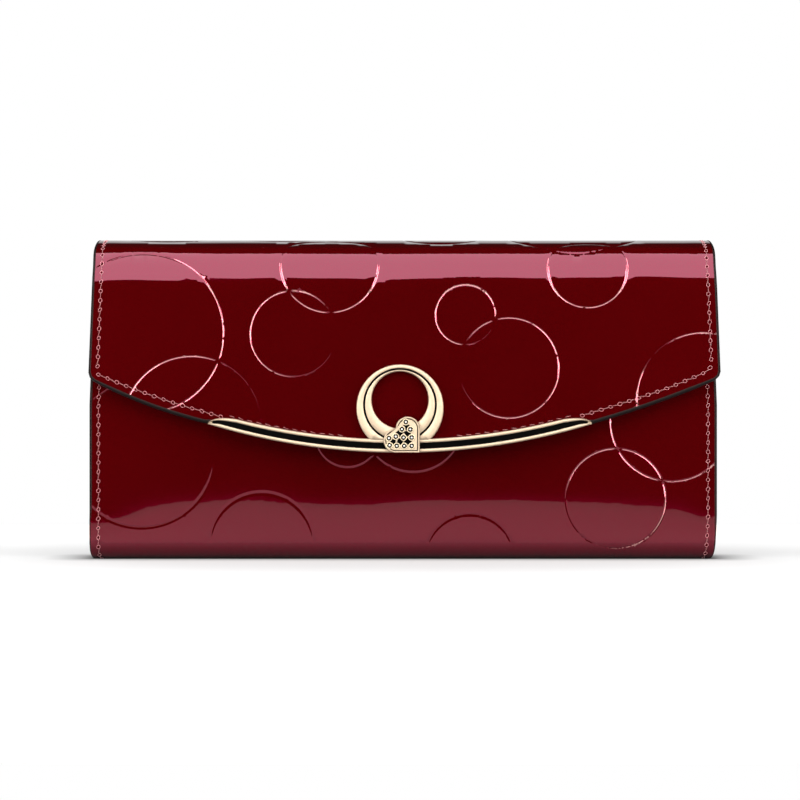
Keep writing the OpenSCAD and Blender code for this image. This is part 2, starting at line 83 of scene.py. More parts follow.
BACK_Y = high_of("back_leather")[1]
BODY_H = high_of("fold_leather_2")[2]
FRONT_Y = low_of("front_leather")[1]
FRONT_TOP_Z = high_of("front_leather")[2]
FRONT_IN_Y = high_of("front_lining")[1]
BACK_IN_Y = low_of("back_lining")[1]
BODY_HALF_W = high_of("front_leather")[0]
FOLD_HALF_W = high_of("fold_leather_2")[0]
FLAP_Y = low_of("flap_leather")[1]
FLAP_HALF_W = (high_of("flap_leather")[0] - low_of("flap_leather")[0]) / 2
FLAP_X = (high_of("flap_leather")[0] + low_of("flap_leather")[0]) / 2
WALL = FRONT_IN_Y - FRONT_Y  # leather, board and lining together
BASE_R = 5.0
TRIM_X = (high_of("trim_bar")[0] + low_of("trim_bar")[0]) / 2
BAR_HALF = (high_of("trim_bar")[0] - low_of("trim_bar")[0]) / 2
BAR_FACE_Y = low_of("trim_bar")[1]
BAR_LOW_Z = low_of("trim_bar")[2]

# ---- the cover's cross-section

BACK_R = 6.0  # radii of the top fold, from back to flap
FRONT_R = 6.0
FLAP_R = 25.0
CROWN_TURN, FRONT_TURN = math.radians(108), math.radians(155)
CROWN_R = FRONT_R + (BACK_R + FLAP_R - (BACK_Y - FLAP_Y) - (FRONT_R - FLAP_R) * math.cos(FRONT_TURN)) / (
    math.cos(CROWN_TURN))
RUNS = [  # length and turn of each run, from the front's top edge
    (FRONT_TOP_Z - BASE_R, 0.0),
    (BASE_R * math.pi / 2, math.pi / 2),
    (BACK_Y - FRONT_Y - 2 * BASE_R, 0.0),
    (BASE_R * math.pi / 2, math.pi / 2),
    (BODY_H - BACK_R - BASE_R, 0.0),
    (BACK_R * math.pi / 2, math.pi / 2),
    (CROWN_R * (CROWN_TURN - math.pi / 2), CROWN_TURN - math.pi / 2),
    (FRONT_R * (FRONT_TURN - CROWN_TURN), FRONT_TURN - CROWN_TURN),
    (FLAP_R * (math.pi - FRONT_TURN), math.pi - FRONT_TURN),
    (80.0, 0.0),
]


def lay_out(runs):
    """Start place, point and turn of each run. The path starts going down the front panel."""
    start = -sum(length for length, _ in runs[:5])
    y, z, turn = FRONT_Y, FRONT_TOP_Z, -math.pi
    rows = []
    for length, bend in runs:
        rows.append((start, y, z, turn, bend / length))
        if bend:
            r = length / bend
            y += r * (math.cos(turn + bend) - math.cos(turn))
            z += r * (math.sin(turn + bend) - math.sin(turn))
        else:
            y -= length * math.sin(turn)
            z += length * math.cos(turn)
        start += length
        turn += bend
    return np.array(rows)


PATH = lay_out(RUNS)
S_TOP_OF_FRONT, S_FRONT_FOOT = PATH[0, 0], PATH[1, 0]
S_CROWN, S_FLAP = PATH[6, 0], PATH[9, 0]
FLAP_Z = PATH[9, 2]  # where the flap becomes flat


def section(s):
    """y, z and turn of the cover's outer face at s. The outward direction is (cos turn, sin turn)."""
    s = np.asarray(s, float)
    i = np.clip(np.searchsorted(PATH[:, 0], s, side="right") - 1, 0, len(PATH) - 1)
    start, y, z, turn, k = PATH[i].T
    run = s - start
    now = turn + k * run
    safe = np.where(k == 0, 1.0, k)
    y_arc = y + (np.cos(now) - np.cos(turn)) / safe
    z_arc = z + (np.sin(now) - np.sin(turn)) / safe
    y_line = y - run * np.sin(turn)
    z_line = z + run * np.cos(turn)
    return np.where(k == 0, y_line, y_arc), np.where(k == 0, z_line, z_arc), now


def s_of_turn(degrees):
    """Place where the top fold has turned this much from the back panel."""
    turn = math.radians(degrees)
    rows = [row for row in PATH[5:9] if row[3] <= turn + 1e-9]
    start, _, _, first, k = rows[-1]
    return start + (turn - first) / k


def front_s(z):
    """Place on the front panel at flat height z."""
    return S_FRONT_FOOT + BASE_R - z


def flap_s(z):
    """Place on the flap at flat height z."""
    return S_FLAP + FLAP_Z - z


def back_s(z):
    """Place on the back panel at height z."""
    return z - (BODY_H - BACK_R)


def lift(x, s, out=0.0):
    """Points in mm at (x, s), standing out from the cover's face."""
    y, z, turn = section(s)
    return np.stack([np.broadcast_to(x, y.shape), y + out * np.cos(turn), z + out * np.sin(turn)], -1)


# ---- the cover's outline

CORNER_Z, CORNER_R = 56.6, 3.0  # the flap's lower corners
SLOPE_BOW = {-1: 1.1, 1: 0.6}  # how far its sloping edges bow out, left and right
CORNER_DROP = {-1: 0.45, 1: 0.0}  # how much lower its corners sit
BAR_LOW_R, BAR_TOP_R, BAR_TOP_Z = 204.0, 206.0, 37.25
BAR_LIP = 0.95  # the flap's edge under the bar, inside the bar's lower edge
HALF_WIDTHS = [  # place, and half the cover's width there
    (S_TOP_OF_FRONT, BODY_HALF_W - 1.4), (front_s(48), BODY_HALF_W), (front_s(12), BODY_HALF_W),
    (front_s(5), BODY_HALF_W - 0.2), (S_FRONT_FOOT + 3.5, BODY_HALF_W - 0.4),
    (S_FRONT_FOOT + 6, BODY_HALF_W - 0.8), (S_FRONT_FOOT + 8, BODY_HALF_W - 1.3),
    (back_s(0) - 3, BODY_HALF_W - 1.3), (back_s(5), BODY_HALF_W - 0.4), (back_s(20), BODY_HALF_W),
    (0, FOLD_HALF_W - 0.1), (S_FLAP - 8, FOLD_HALF_W - 0.22), (flap_s(CORNER_Z), FLAP_HALF_W),
]
MIDDLES = [  # place, and the middle of the cover there, to the right
    (front_s(14), 0), (S_FRONT_FOOT + 3, -0.3), (back_s(5), -0.3), (back_s(20), 0), (back_s(60), 0),
    (S_CROWN, 0.25), (S_FLAP, FLAP_X),
]


def half_width(s):
    """Half the cover's width at s."""
    return np.interp(s, *zip(*HALF_WIDTHS))


def middle(s):
    """Sideways place of the cover's middle at s: the flap is a little to the right, the foot to the left."""
    return np.interp(s, *zip(*MIDDLES))


def edge_line(s, side, inset=0.0):
    """Places (x, s) on the cover's left or right edge, or a little inside it."""
    return np.stack([middle(s) + side * (half_width(s) - inset), s], -1)


def bar_low(x, inside=0.0):
    """Height of the bar's lower edge at x from its middle, or of a line inside it."""
    return BAR_LOW_Z + BAR_LOW_R - np.sqrt((BAR_LOW_R - inside) ** 2 - x ** 2)


def bar_top(x, inside=0.0):
    """Height of the bar's upper edge at x from its middle, or of a line inside it."""
    return BAR_TOP_Z + BAR_TOP_R - np.sqrt((BAR_TOP_R + inside) ** 2 - x ** 2)


def flap_outline():
    """The flap's lower outline as (x, s), from its left side round to its right side."""
    tip_z = float(bar_low(BAR_HALF))
    slope = math.atan2(CORNER_Z - tip_z, FLAP_HALF_W - BAR_HALF)
    cx = FLAP_HALF_W - CORNER_R
    cz = CORNER_Z + CORNER_R / math.cos(slope) - CORNER_R * math.tan(slope)

    def corner(side):
        """The rounded corner, from the side edge to the sloping edge."""
        turn = math.atan2(4 * SLOPE_BOW[side], FLAP_HALF_W - BAR_HALF)
        turns = np.linspace(0, slope + turn - math.pi / 2, 8)
        z = cz - CORNER_DROP[side]
        return [(FLAP_X + side * (cx + CORNER_R * math.cos(t)), z + CORNER_R * math.sin(t)) for t in turns]

    def bow(start, side):
        """The sloping edge from the corner's end to the bar's tip."""
        t = np.linspace(0, 1, 16)[1:, None]
        end = np.array([TRIM_X + side * BAR_HALF, tip_z + 0.6])
        out = np.array([side * math.sin(slope), -math.cos(slope)])
        line = np.array(start) * (1 - t) + end * t + SLOPE_BOW[side] * 4 * t * (1 - t) * out
        return [tuple(p) for p in line]

    under = [(TRIM_X + x, float(bar_low(x, BAR_LIP))) for x in np.linspace(BAR_HALF, -BAR_HALF, 60)]
    right, left = corner(1), corner(-1)
    points = np.array(right + bow(right[-1], 1) + under + bow(left[-1], -1)[::-1] + left[::-1])[::-1]
    return np.stack([points[:, 0], flap_s(points[:, 1])], -1)


def resample(line, step):
    """Points evenly spaced along a line of (x, s)."""
    d = np.r_[0, np.cumsum(np.linalg.norm(np.diff(line, axis=0), axis=1))]
    at = np.linspace(0, d[-1], max(2, int(round(d[-1] / step)) + 1))
    return np.stack([np.interp(at, d, line[:, 0]), np.interp(at, d, line[:, 1])], -1)


def directions(points):
    """Unit directions along a line and to its left, at each of its points."""
    along = np.gradient(points, axis=0)
    along /= np.linalg.norm(along, axis=1)[:, None]
    return along, np.stack([-along[:, 1], along[:, 0]], -1)


LOWER_STEP = 1.6
LOWER = resample(flap_outline(), LOWER_STEP)  # the flap's lower outline
LOWER_OUT = directions(LOWER)[1]  # directions away from the leather there


def distance_to_line(x, s, line):
    """Distance from each point to a line of (x, s)."""
    p = np.stack([x, s], -1)[:, None, :]
    a, b = line[:-1][None], line[1:][None]
    t = np.clip(((p - a) * (b - a)).sum(-1) / ((b - a) ** 2).sum(-1), 0, 1)
    return np.linalg.norm(p - a - t[..., None] * (b - a), axis=-1).min(1)


def edge_distance(x, s):
    """Distance from the cover's outline, on the leather."""
    d = half_width(s) - np.abs(x - middle(s))
    d = np.minimum(d, s - S_TOP_OF_FRONT)
    near = s > S_FLAP
    if near.any():
        d[near] = np.minimum(d[near], distance_to_line(x[near], s[near], LOWER))
    return np.maximum(d, 0)


# ---- the embossed circles

# x, flat height, radius; where it is pressed less (degrees), how far that reaches, and how soft the line is
FLAP_CIRCLES = [
    (-80.6, 70.3, 24.9, 200, 10, 0), (-65.5, 41.6, 21.4, 30, 38, 0), (-34.1, 70.0, 13.3, -25, 75, 0),
    (-22.9, 91.8, 15.2, 90, 12, 0), (19.3, 75.9, 9.3, -40, 42, 0), (32.7, 59.4, 15.5, 185, 45, 0),
    (57.2, 90.4, 12.3, 90, 30, 0), (53.6, 115.6, 20.2, 0, 10, 0), (11.9, 114.7, 11.7, 0, 10, 0),
    (93.0, 49.7, 20.6, 135, 18, 0), (-74.0, 121.0, 14.0, 40, 40, 0), (-38.0, 127.0, 18.5, 200, 40, 0),
]
FRONT_CIRCLES = [
    (-81.4, 32.5, 22.6, 15, 35, 0.8), (-44.0, 4.5, 16.1, 200, 25, 1), (-17.3, 38.5, 10.2, 90, 30, 0.8),
    (3.1, 42.6, 15.8, 90, 30, 0.8), (20.7, 0.2, 13.8, 180, 30, 1), (66.1, 18.8, 15.5, 215, 50, 0.1),
    (83.4, 43.0, 18.9, 60, 20, 0.1), (-30.0, 62.0, 11.0, 0, 20, 0), (48.0, 66.0, 14.5, 120, 30, 0),
]
BACK_CIRCLES = [
    (-72.0, 66.0, 24.0, 30, 30, 0), (-50.0, 38.0, 13.0, 200, 40, 0), (-14.0, 72.0, 15.5, -60, 30, 0),
    (-8.0, 30.0, 19.0, 90, 30, 0), (22.0, 52.0, 9.5, 0, 30, 0), (40.0, 78.0, 13.0, 180, 40, 0),
    (60.0, 40.0, 22.0, 240, 40, 0), (86.0, 66.0, 11.0, 90, 20, 0), (28.0, 12.0, 14.0, 0, 40, 0.5),
    (-80.0, 14.0, 18.0, 120, 40, 0.5), (84.0, 6.0, 12.5, 60, 30, 1), (-30.0, 8.0, 9.0, 200, 30, 1),
]
CIRCLES = np.array([
    (x, place(z), r, sign * dim, wide, soft)
    for circles, place, sign in (
        (FLAP_CIRCLES, flap_s, -1), (FRONT_CIRCLES, front_s, -1), (BACK_CIRCLES, back_s, 1))
    for x, z, r, dim, wide, soft in circles
])
GROOVE_DEPTH, GROOVE_W = 0.078, 0.16
CROSSING_GAP = 0.9  # the lines fade this near to another one
GROOVE_ACROSS = GROOVE_W * np.array(  # where the mesh has points across a line
    [-2.6, -1.7, -1.0, -0.7, -0.48, -0.3, -0.15, 0, 0.15, 0.3, 0.48, 0.7, 1.0, 1.7, 2.6])
SOFTER = 1.3  # how much wider a soft line is
BEND_EXTRA = 0.7  # how much deeper and wider the lines are in the top bend
SWELLS = [  # gentle waves: height, lengths in x and s, phase
    (0.008, 96.0, 71.0, 0.4), (0.005, -61.0, 83.0, 2.1), (0.003, 43.0, -57.0, 4.0), (0.001, 27.0, 34.0, 1.2),
]
BEND_SWELLS = [  # the same, near where the flap begins
    (0.10, 150.0, 60.0, 2.6), (0.05, -52.0, 44.0, 0.3), (0.02, 23.0, 37.0, 1.0),
]
SEAM = 2.4  # stitching, from the edge


def groove_depth(x, s):
    """Depth of the embossed lines at each point; they break where they cross."""
    groove = np.zeros_like(x)
    crowd = np.zeros_like(x)
    for cx, cs, r, dim, wide, soft in CIRCLES:
        width = GROOVE_W * (1 + SOFTER * soft)
        away = np.hypot(x - cx, s - cs) - r
        crowd += np.exp(-(away / CROSSING_GAP) ** 2)
        near = np.abs(away) < 6 * width
        if not near.any():
            continue
        turn = np.degrees(np.arctan2(s[near] - cs, x[near] - cx))
        off = (turn - dim + 180) % 360 - 180
        press = 1 - 0.6 * np.exp(-(off / wide) ** 4)
        more = 1 + BEND_EXTRA * np.clip((s[near] + 4) / 8, 0, 1) * np.clip((S_FLAP + 2 - s[near]) / 6, 0, 1)
        line = GROOVE_DEPTH * (1 - 0.5 * soft) * more * press * np.exp(-(away[near] / width / more) ** 2)
        groove[near] = np.maximum(groove[near], line)
    return groove * (1 - 0.9 * np.clip(crowd - 1, 0, 1))


def waves(x, s, swells):
    """Height of a sum of gentle waves."""
    return sum(h * np.sin(2 * math.pi * (x / in_x + s / in_s) + phase) for h, in_x, in_s, phase in swells)


def relief(x, s):
    """Height of the leather over the plain cover: grooves, waves, seam valley and rolled edges."""
    h = waves(x, s, SWELLS) + np.exp(-((s - S_FLAP) / 22) ** 2) * waves(x, s, BEND_SWELLS)
    edge = edge_distance(x, s)
    fade = np.clip(edge / 5, 0, 1)
    valley = 0.015 * np.exp(-((edge - SEAM) / 0.55) ** 2)
    roll = 0.03 * np.clip(1 - edge / 0.6, 0, 1) ** 2
    # the front stands out a little toward its lower corners, more on the left
    lean = np.where(x < 0, 1.0, 0.66) * np.clip((np.abs(x) - 60) / 34, 0, 1) ** 2
    foot = 0.075 * lean * (1 + np.tanh((s - front_s(14)) / 7)) * (s < S_FRONT_FOOT + BASE_R)
    groove = groove_depth(x, s) * np.clip(edge / 1.2, 0, 1)
    return h * fade * fade * (3 - 2 * fade) + foot - groove - valley - roll


# ---- mesh helpers


def make_object(name, points, faces, material, normals=None, smooth=True, place=None, painted_highlight=None):
    """A mesh object from points in mm. place: where each point lies on the flat cover; the last argument: how
    much highlight colour is painted at each point.
    """
    mesh = bpy.data.meshes.new(name)
    mesh.from_pydata((np.asarray(points) * MM).tolist(), [], [list(map(int, f)) for f in faces])
    mesh.update()
    if smooth:
        mesh.polygons.foreach_set("use_smooth", [True] * len(mesh.polygons))
    if normals is not None:
        mesh.normals_split_custom_set_from_vertices(np.asarray(normals).tolist())
    if place is not None:
        flat = np.column_stack([place, np.zeros(len(place))]) * MM
        mesh.attributes.new("place", "FLOAT_VECTOR", "POINT").data.foreach_set("vector", flat.ravel())
    if painted_highlight is not None:
        mesh.attributes.new("painted_highlight", "FLOAT", "POINT").data.foreach_set("value", painted_highlight)
    if material is not None:
        mesh.materials.append(material)
    obj = bpy.data.objects.new(name, mesh)
    bpy.context.scene.collection.objects.link(obj)
    return obj


def grid(x, s):
    """All the places (x, s) of a grid."""
    x, s = np.meshgrid(x, s)
    return np.stack([x.ravel(), s.ravel()], -1)


def grid_faces(rows, columns, closed=False, base=0):
    """Quads between rows of points; closed joins the last column to the first."""
    faces = []
    for i in range(rows - 1):
        a, b = base + i * columns, base + (i + 1) * columns
        for j in range(columns if closed else columns - 1):
            k = (j + 1) % columns
            faces.append((a + j, a + k, b + k, b + j))
    return faces


def settle(obj, slot_name, body, *nodes):
    """Hides the CAD nodes a piece stands for and lets it ride on the body; its slot name is not used."""
    if nodes:
        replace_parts(obj, *nodes)
    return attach(obj, body)


def filled(loop, points):
    """Triangles over a closed loop of (x, s) through points inside it: all the places, and the faces."""
    flat = [Vector(p) for p in np.concatenate([loop, points])]
    out, _, faces, _, _, _ = delaunay_2d_cdt(flat, [], [list(range(len(loop)))], 1, 1e-5)
    return np.array([tuple(p) for p in out]), faces


class Pile:
    """Collects many small shapes into one mesh."""

    def __init__(self):
        self.points, self.faces, self.count = [], [], 0

    def add(self, points, faces):
        self.points.append(np.asarray(points, float))
        self.faces += [tuple(i + self.count for i in f) for f in faces]
        self.count += len(points)

    def band(self, rows):
        """Adds closed rings of points, each joined to the next."""
        self.add(np.concatenate(rows), grid_faces(len(rows), len(rows[0]), closed=True))

    def build(self, name, material, smooth=True):
        return make_object(name, np.concatenate(self.points), self.faces, material, smooth=smooth)


# ---- where the cover bends

S45, S90, S135, S180 = (s_of_turn(a) for a in (45, 90, 135, 180))
HEM_LOW, HEM_MID, HEM_HIGH = S_FRONT_FOOT + 3.0, S_FRONT_FOOT - 2.0, S_FRONT_FOOT - 8.0


class Stretch:
    """A stretch of the cover that rides on one body, or lies between two."""

    def __init__(self, name, low, high, bodies, bend=None):
        self.name, self.low, self.high, self.bodies = name, low, high, bodies
        self.bend = bend or (low, high)
        self.is_flap = name == "flap"

    def attach(self, obj):
        """Lets a piece ride on the body; a piece between two bodies only has its place baked in."""
        if len(self.bodies) == 1:
            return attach(obj, self.bodies[0])
        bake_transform(obj)
        return obj


FLAP_END = flap_s(BAR_LOW_Z)
STRETCHES = [
    Stretch("front", S_TOP_OF_FRONT, HEM_HIGH, ["front_panel"]),
    Stretch("hem_upper", HEM_HIGH, HEM_MID, ["pocket", "front_panel"], (HEM_MID, HEM_HIGH)),
    Stretch("hem_lower", HEM_MID, HEM_LOW, ["case", "pocket"], (HEM_LOW, HEM_MID)),
    Stretch("back", HEM_LOW, 0.0, ["case"]),
    Stretch("fold_a", 0.0, S45, ["case", "fold_1"]),
    Stretch("fold_b", S45, S90, ["fold_1", "fold_2"]),
    Stretch("fold_c", S90, S135, ["fold_2", "fold_3"], (PATH[7, 0] - 2.5, S135)),
    Stretch("fold_d", S135, S180, ["fold_3", "flap"], (S135, PATH[8, 0] + 4.5)),
    Stretch("flap", S180, FLAP_END, ["flap"]),
]

# ---- leather skins


def border_row(s):
    """Points across the cover at s: evenly spaced, and close together where a circle crosses."""
    half = half_width(s)
    x = [middle(s) + np.linspace(-1, 1, 131) * half]
    for cx, cs, r, _, _, soft in CIRCLES:
        reach = math.sqrt(max(0.0, r * r - (s - cs) ** 2))
        if reach > 0.5:
            spread = GROOVE_ACROSS * (1 + SOFTER * soft) * min(4.0, r / reach)
            x += [cx - reach + spread, cx + reach + spread]
    x = np.unique(np.concatenate(x).round(3))
    inside = np.abs(x - middle(s)) < half - 0.3
    x = x[inside][np.r_[True, np.diff(x[inside]) > 0.02]]
    x = np.concatenate([[middle(s) - half], x, [middle(s) + half]])
    return grid(x, s)


def border_loop(stretch):
    """The outline of a stretch as a closed loop of (x, s)."""
    low, high = stretch.low, LOWER[0, 1] if stretch.is_flap else stretch.high
    top = LOWER if stretch.is_flap else border_row(high)
    count = int((high - low) / 1.6) + (0 if stretch.is_flap else 1)
    s = np.linspace(low, high, max(3, count))[1:-1]
    return np.concatenate([border_row(low), edge_line(s, 1), top[::-1], edge_line(s, -1)[::-1]])


def s_rows(low, high):
    """Places for rows of points: close together where the cover bends tightly."""
    rows = [low]
    while rows[-1] < high - 1e-6:
        i = np.clip(np.searchsorted(PATH[:, 0], rows[-1] + 1e-6, side="right") - 1, 0, len(PATH) - 1)
        k = PATH[i, 4]
        step = 5.0 if k == 0 else min(5.0, math.radians(7) / k)
        limit = PATH[i + 1, 0] if i + 1 < len(PATH) else 1e9
        rows.append(min(rows[-1] + step, limit if limit > rows[-1] + 1e-6 else high, high))
    return np.array(rows[1:-1])


def inner_points(stretch):
    """Points inside a stretch: rows along its edges, rings along the circles, and a plain grid."""
    low, end = stretch.low, LOWER[:, 1].max() if stretch.is_flap else stretch.high
    kept = []
    for offset in (0.25, 0.55, 0.9, 1.3, 1.9, SEAM, 2.9, 3.8, 5.0):
        s = np.arange(low + 0.8, end, 1.6)
        kept += [edge_line(s, -1, offset), edge_line(s, 1, offset)]
        if stretch.is_flap:
            kept += [LOWER + LOWER_OUT * offset, LOWER - LOWER_OUT * offset]
        if stretch.name == "front":
            kept.append(grid(np.arange(-BODY_HALF_W + 1, BODY_HALF_W, 3.0), low + offset))
    for cx, cs, r, _, _, soft in CIRCLES:
        turn = circle(int(2 * math.pi * r / 1.1))
        for d in GROOVE_ACROSS * (1 + SOFTER * soft):
            kept.append(np.stack([cx + (r + d) * np.cos(turn), cs + (r + d) * np.sin(turn)], -1))
    kept.append(grid(np.arange(-92, 92.1, 4.0), s_rows(low, end)))
    kept.append(grid(np.arange(-93, 93.1, 2.0), np.arange(front_s(8), S_FRONT_FOOT + 8, 0.7)))
    points = np.concatenate(kept)
    x, s = points.T
    inside = (s > low + 0.2) & (s < end - 0.2)
    inside &= half_width(s) - np.abs(x - middle(s)) > 0.2
    if stretch.is_flap:
        inside &= inside_loop(points, border_loop(stretch))
        inside[inside] &= distance_to_line(x[inside], s[inside], LOWER) > 0.2
    return points[inside]


def inside_loop(points, loop):
    """Which points lie inside a closed loop."""
    x, y = points.T
    ax, ay = loop.T
    bx, by = np.roll(loop, -1, axis=0).T
    inside = np.zeros(len(points), bool)
    for x0, y0, x1, y1 in zip(ax, ay, bx, by):
        if y0 != y1:
            crosses = (y0 > y) != (y1 > y)
            inside ^= crosses & (x < (x1 - x0) * (y - y0) / (y1 - y0) + x0)
    return inside


def thinned(points, gap=0.12):
    """Points without near twins."""
    _, index = np.unique(np.round(points / gap).astype(int), axis=0, return_index=True)
    return points[np.sort(index)]


def facing(turn, across=0.0):
    """Directions (across, cos turn, sin turn)."""
    return np.stack([np.broadcast_to(across, turn.shape), np.cos(turn), np.sin(turn)], -1)


def leather_normals(x, s):
    """Outward directions of the embossed leather."""
    e = 0.03
    slope_x = (relief(x + e, s) - relief(x - e, s)) / (2 * e)
    slope_s = (relief(x, s + e) - relief(x, s - e)) / (2 * e)
    turn = section(s)[2]
    n = facing(turn, -slope_x) - slope_s[:, None] * facing(turn + math.pi / 2)
    return n / np.linalg.norm(n, axis=1)[:, None]


def painted_line_highlight(x, s):
    """How much light colour is painted along the sharp embossed lines of the flat parts, a painted highlight;
    none in the top bend.
    """
    sharp = np.clip(groove_depth(x, s) / GROOVE_DEPTH - 0.55, 0, 1) / 0.45
    in_bend = np.clip((s + 4) / 8, 0, 1) * np.clip((S_FLAP + 1 - s) / 4, 0, 1)
    return sharp ** 1.5 * (1 - in_bend)


def leather_skin(stretch, material):
    """The embossed outer face of a stretch of the cover."""
    xs, faces = filled(border_loop(stretch), thinned(inner_points(stretch)))
    x, s = xs.T
    positions = lift(x, s, relief(x, s))
    a, b, c = (positions[[f[i] for f in faces]] for i in range(3))
    turn = section(xs[[f[0] for f in faces], 1])[2]
    flip = (np.cross(b - a, c - a) * facing(turn)).sum(-1) < 0
    faces = [f[::-1] if bad else f for f, bad in zip(faces, flip)]
    obj = make_object("leather_" + stretch.name, positions, faces, material,
                      normals=leather_normals(x, s), place=xs, painted_highlight=painted_line_highlight(x, s))
    return stretch.attach(obj)


# ---- painted edges, stitches and linings

EDGE_INNER, EDGE_OUTER = 0.38, 0.45  # how far the paint laps inward, and stands out


def edge_bead(name, line, outward, material, inner=EDGE_INNER, outer=EDGE_OUTER):
    """A painted edge along a line of (x, s): over the whole thickness, lapping a little onto both faces."""
    shape = [(-1, 0, 0), (-0.85, 0, -0.05), (-0.4, 0, -0.07), (0, 0.25, 0.04), (0, 0.72, 0.32), (0, 1, 0.8)]
    shape += [(a, b, WALL - d) for a, b, d in reversed(shape)]
    rows = []
    for a, b, depth in shape:
        at = line + outward * np.broadcast_to(a * inner + b * outer, len(line))[:, None]
        rows.append(lift(at[:, 0], at[:, 1], -depth))
    points = np.concatenate(rows)
    obj = make_object(name, points, grid_faces(len(shape), len(line)), material)
    return fix_facing(obj, points.mean(0))


def fix_facing(obj, inside):
    """Turns an object's faces to look away from a point in mm."""
    centre, normal = np.zeros((2, len(obj.data.polygons) * 3))
    obj.data.polygons.foreach_get("center", centre)
    obj.data.polygons.foreach_get("normal", normal)
    if ((centre.reshape(-1, 3) / MM - inside) * normal.reshape(-1, 3)).sum() < 0:
        obj.data.flip_normals()
    return obj


def side_line(low, high, side):
    """The cover's left or right edge between two places."""
    bends = [row[0] for row in PATH if low < row[0] < high]
    s = np.unique(np.concatenate([np.linspace(low, high, max(4, int(high - low))), bends]))
    return edge_line(s, side)


def edges_of(stretch, material):
    """Painted edges of a stretch."""
    made = []
    end = LOWER[0, 1] if stretch.is_flap else stretch.high
    for side, word in ((-1, "left"), (1, "right")):
        line = side_line(stretch.low, end, side)
        made.append(edge_bead(f"edge_{stretch.name}_{word}", line, np.array([[side, 0.0]]), material))
    if stretch.is_flap:
        along = np.arange(len(LOWER)) * LOWER_STEP
        full = np.clip(np.minimum(along, along[-1] - along) / 8 - 0.3, 0, 1)  # 0 near the ends, 1 between
        made.append(edge_bead("edge_flap_lower", LOWER, LOWER_OUT, material, EDGE_INNER + 0.17 * full,
                              EDGE_OUTER + 0.2 * full))
    if stretch.name == "front":
        half = half_width(S_TOP_OF_FRONT)
        x = middle(S_TOP_OF_FRONT) + np.linspace(-half, half, 80)
        line = grid(x, S_TOP_OF_FRONT)
        made.append(edge_bead("edge_front_top", line, np.array([[0.0, -1.0]]), material))
    for obj in made:
        stretch.attach(obj)


THREAD_R, LOOP_R = 0.08, 0.055  # radii of the thread, and of the loops at the needle holes
LOOP_LONG, LOOP_WIDE = 0.63, 0.48  # half the loops' length and width
PITCH, SLOPE_PITCH = 2.9, 3.08  # from stitch to stitch, on the sides and on the slopes


def seam_stitches(thread_pile, loops, holes, line, low, high, pitch, quiet):
    """Stitches along a line of (x, s): thread between needle holes and, unless quiet, light loops round them,
    a painted highlight on the hole rims, and a dark disc in each hole, painted shade.
    """
    points = resample(line, pitch)
    ring, around = circle(6), circle(14)
    t = np.linspace(-1, 1, 9)
    thick = THREAD_R * np.sqrt(np.clip(1 - t ** 8, 0, 1)) + 0.01
    rises = relief(*points.T)
    for i, (p, a, c, rise) in enumerate(zip(points, *directions(points), rises)):
        if not low <= p[1] < high:
            continue
        wobble = 0.10 * math.sin(i * 2.4) + 0.05 * math.sin(i * 5.1 + 1)
        centre = p + a * pitch / 2 + np.outer(t * (pitch / 2 - 0.5), a) + np.outer((0.13 + wobble) * t, c)
        tube = []
        for turn in ring:
            at = centre + np.outer(thick * math.cos(turn), c)
            tube.append(lift(*at.T, rise + 0.03 - 0.16 * t ** 6 + thick * math.sin(turn)))
        if i < len(points) - 1:
            thread_pile.band(np.stack(tube, 1))
        if quiet:
            continue
        # the loop: a light ring standing in for the light caught on the puckered hole rim, a painted
        # highlight
        long, wide = LOOP_LONG + 0.07 * math.sin(i * 3.7), LOOP_WIDE + 0.06 * math.sin(i * 1.9)
        tilt = 0.35 + 0.25 * math.sin(i * 4.3)
        ea = a * math.cos(tilt) + c * math.sin(tilt)
        ec = c * math.cos(tilt) - a * math.sin(tilt)
        rows = []
        for turn in ring:
            grow = LOOP_R * math.cos(turn)
            at = p + np.outer((long + grow) * np.cos(around), ea)
            at = at + np.outer((wide + grow) * np.sin(around), ec)
            rows.append(lift(*at.T, rise + 0.03 + LOOP_R * math.sin(turn)))
        loops.band(rows + rows[:1])
        # a dark disc in the hole: painted shade
        at = p + 0.6 * (np.outer(long * np.cos(around), ea) + np.outer(wide * np.sin(around), ec))
        holes.add(np.concatenate([lift(*at.T, rise + 0.01), lift(p[:1], p[1:], rise + 0.015)]),
                  [(k, (k + 1) % 14, 14) for k in range(14)])


# how much further in the sloping rows run, from the corner to the bar, left and right
ROW_FURTHER_IN = (-0.4, 0.3, 0.5, 0.45), (0.7, 0.3, 0.45, 0.5)


def seam_lines():
    """The stitched lines (sides, slopes, along the bar), each with its pitch and whether it is quiet."""
    toward_bar = 1 - np.clip((np.abs(LOWER[:, 0] - TRIM_X) - BAR_HALF) / (FLAP_HALF_W - BAR_HALF), 0, 1)
    left, right = (np.interp(toward_bar, [0, 0.35, 0.6, 1], further) for further in ROW_FURTHER_IN)
    inner = LOWER - LOWER_OUT * (SEAM + np.where(LOWER[:, 0] < TRIM_X, left, right))[:, None]
    x = inner[:, 0]
    sides, slopes, bar = [], [], []
    for side in (-1, 1):
        beside_bar = side * (x - TRIM_X) > BAR_HALF + 3
        row = inner[beside_bar & (side * (x - FLAP_X) < FLAP_HALF_W - SEAM)][::side]
        way = (row[0] - row[4]) / np.linalg.norm(row[0] - row[4])
        slopes.append((np.concatenate([[row[0] + way * 7.5], row]), SLOPE_PITCH, False))
        line = side_line(S_TOP_OF_FRONT + 1.5, row[-1, 1] - 2.6, side)
        line[:, 0] -= side * SEAM
        sides.append((line, PITCH, False))
        bar_x = np.linspace(17, BAR_HALF - 6, 40) * side
        bar.append((np.stack([TRIM_X + bar_x, flap_s(bar_top(bar_x) + 0.45)], -1), PITCH, True))
    return sides + slopes + bar


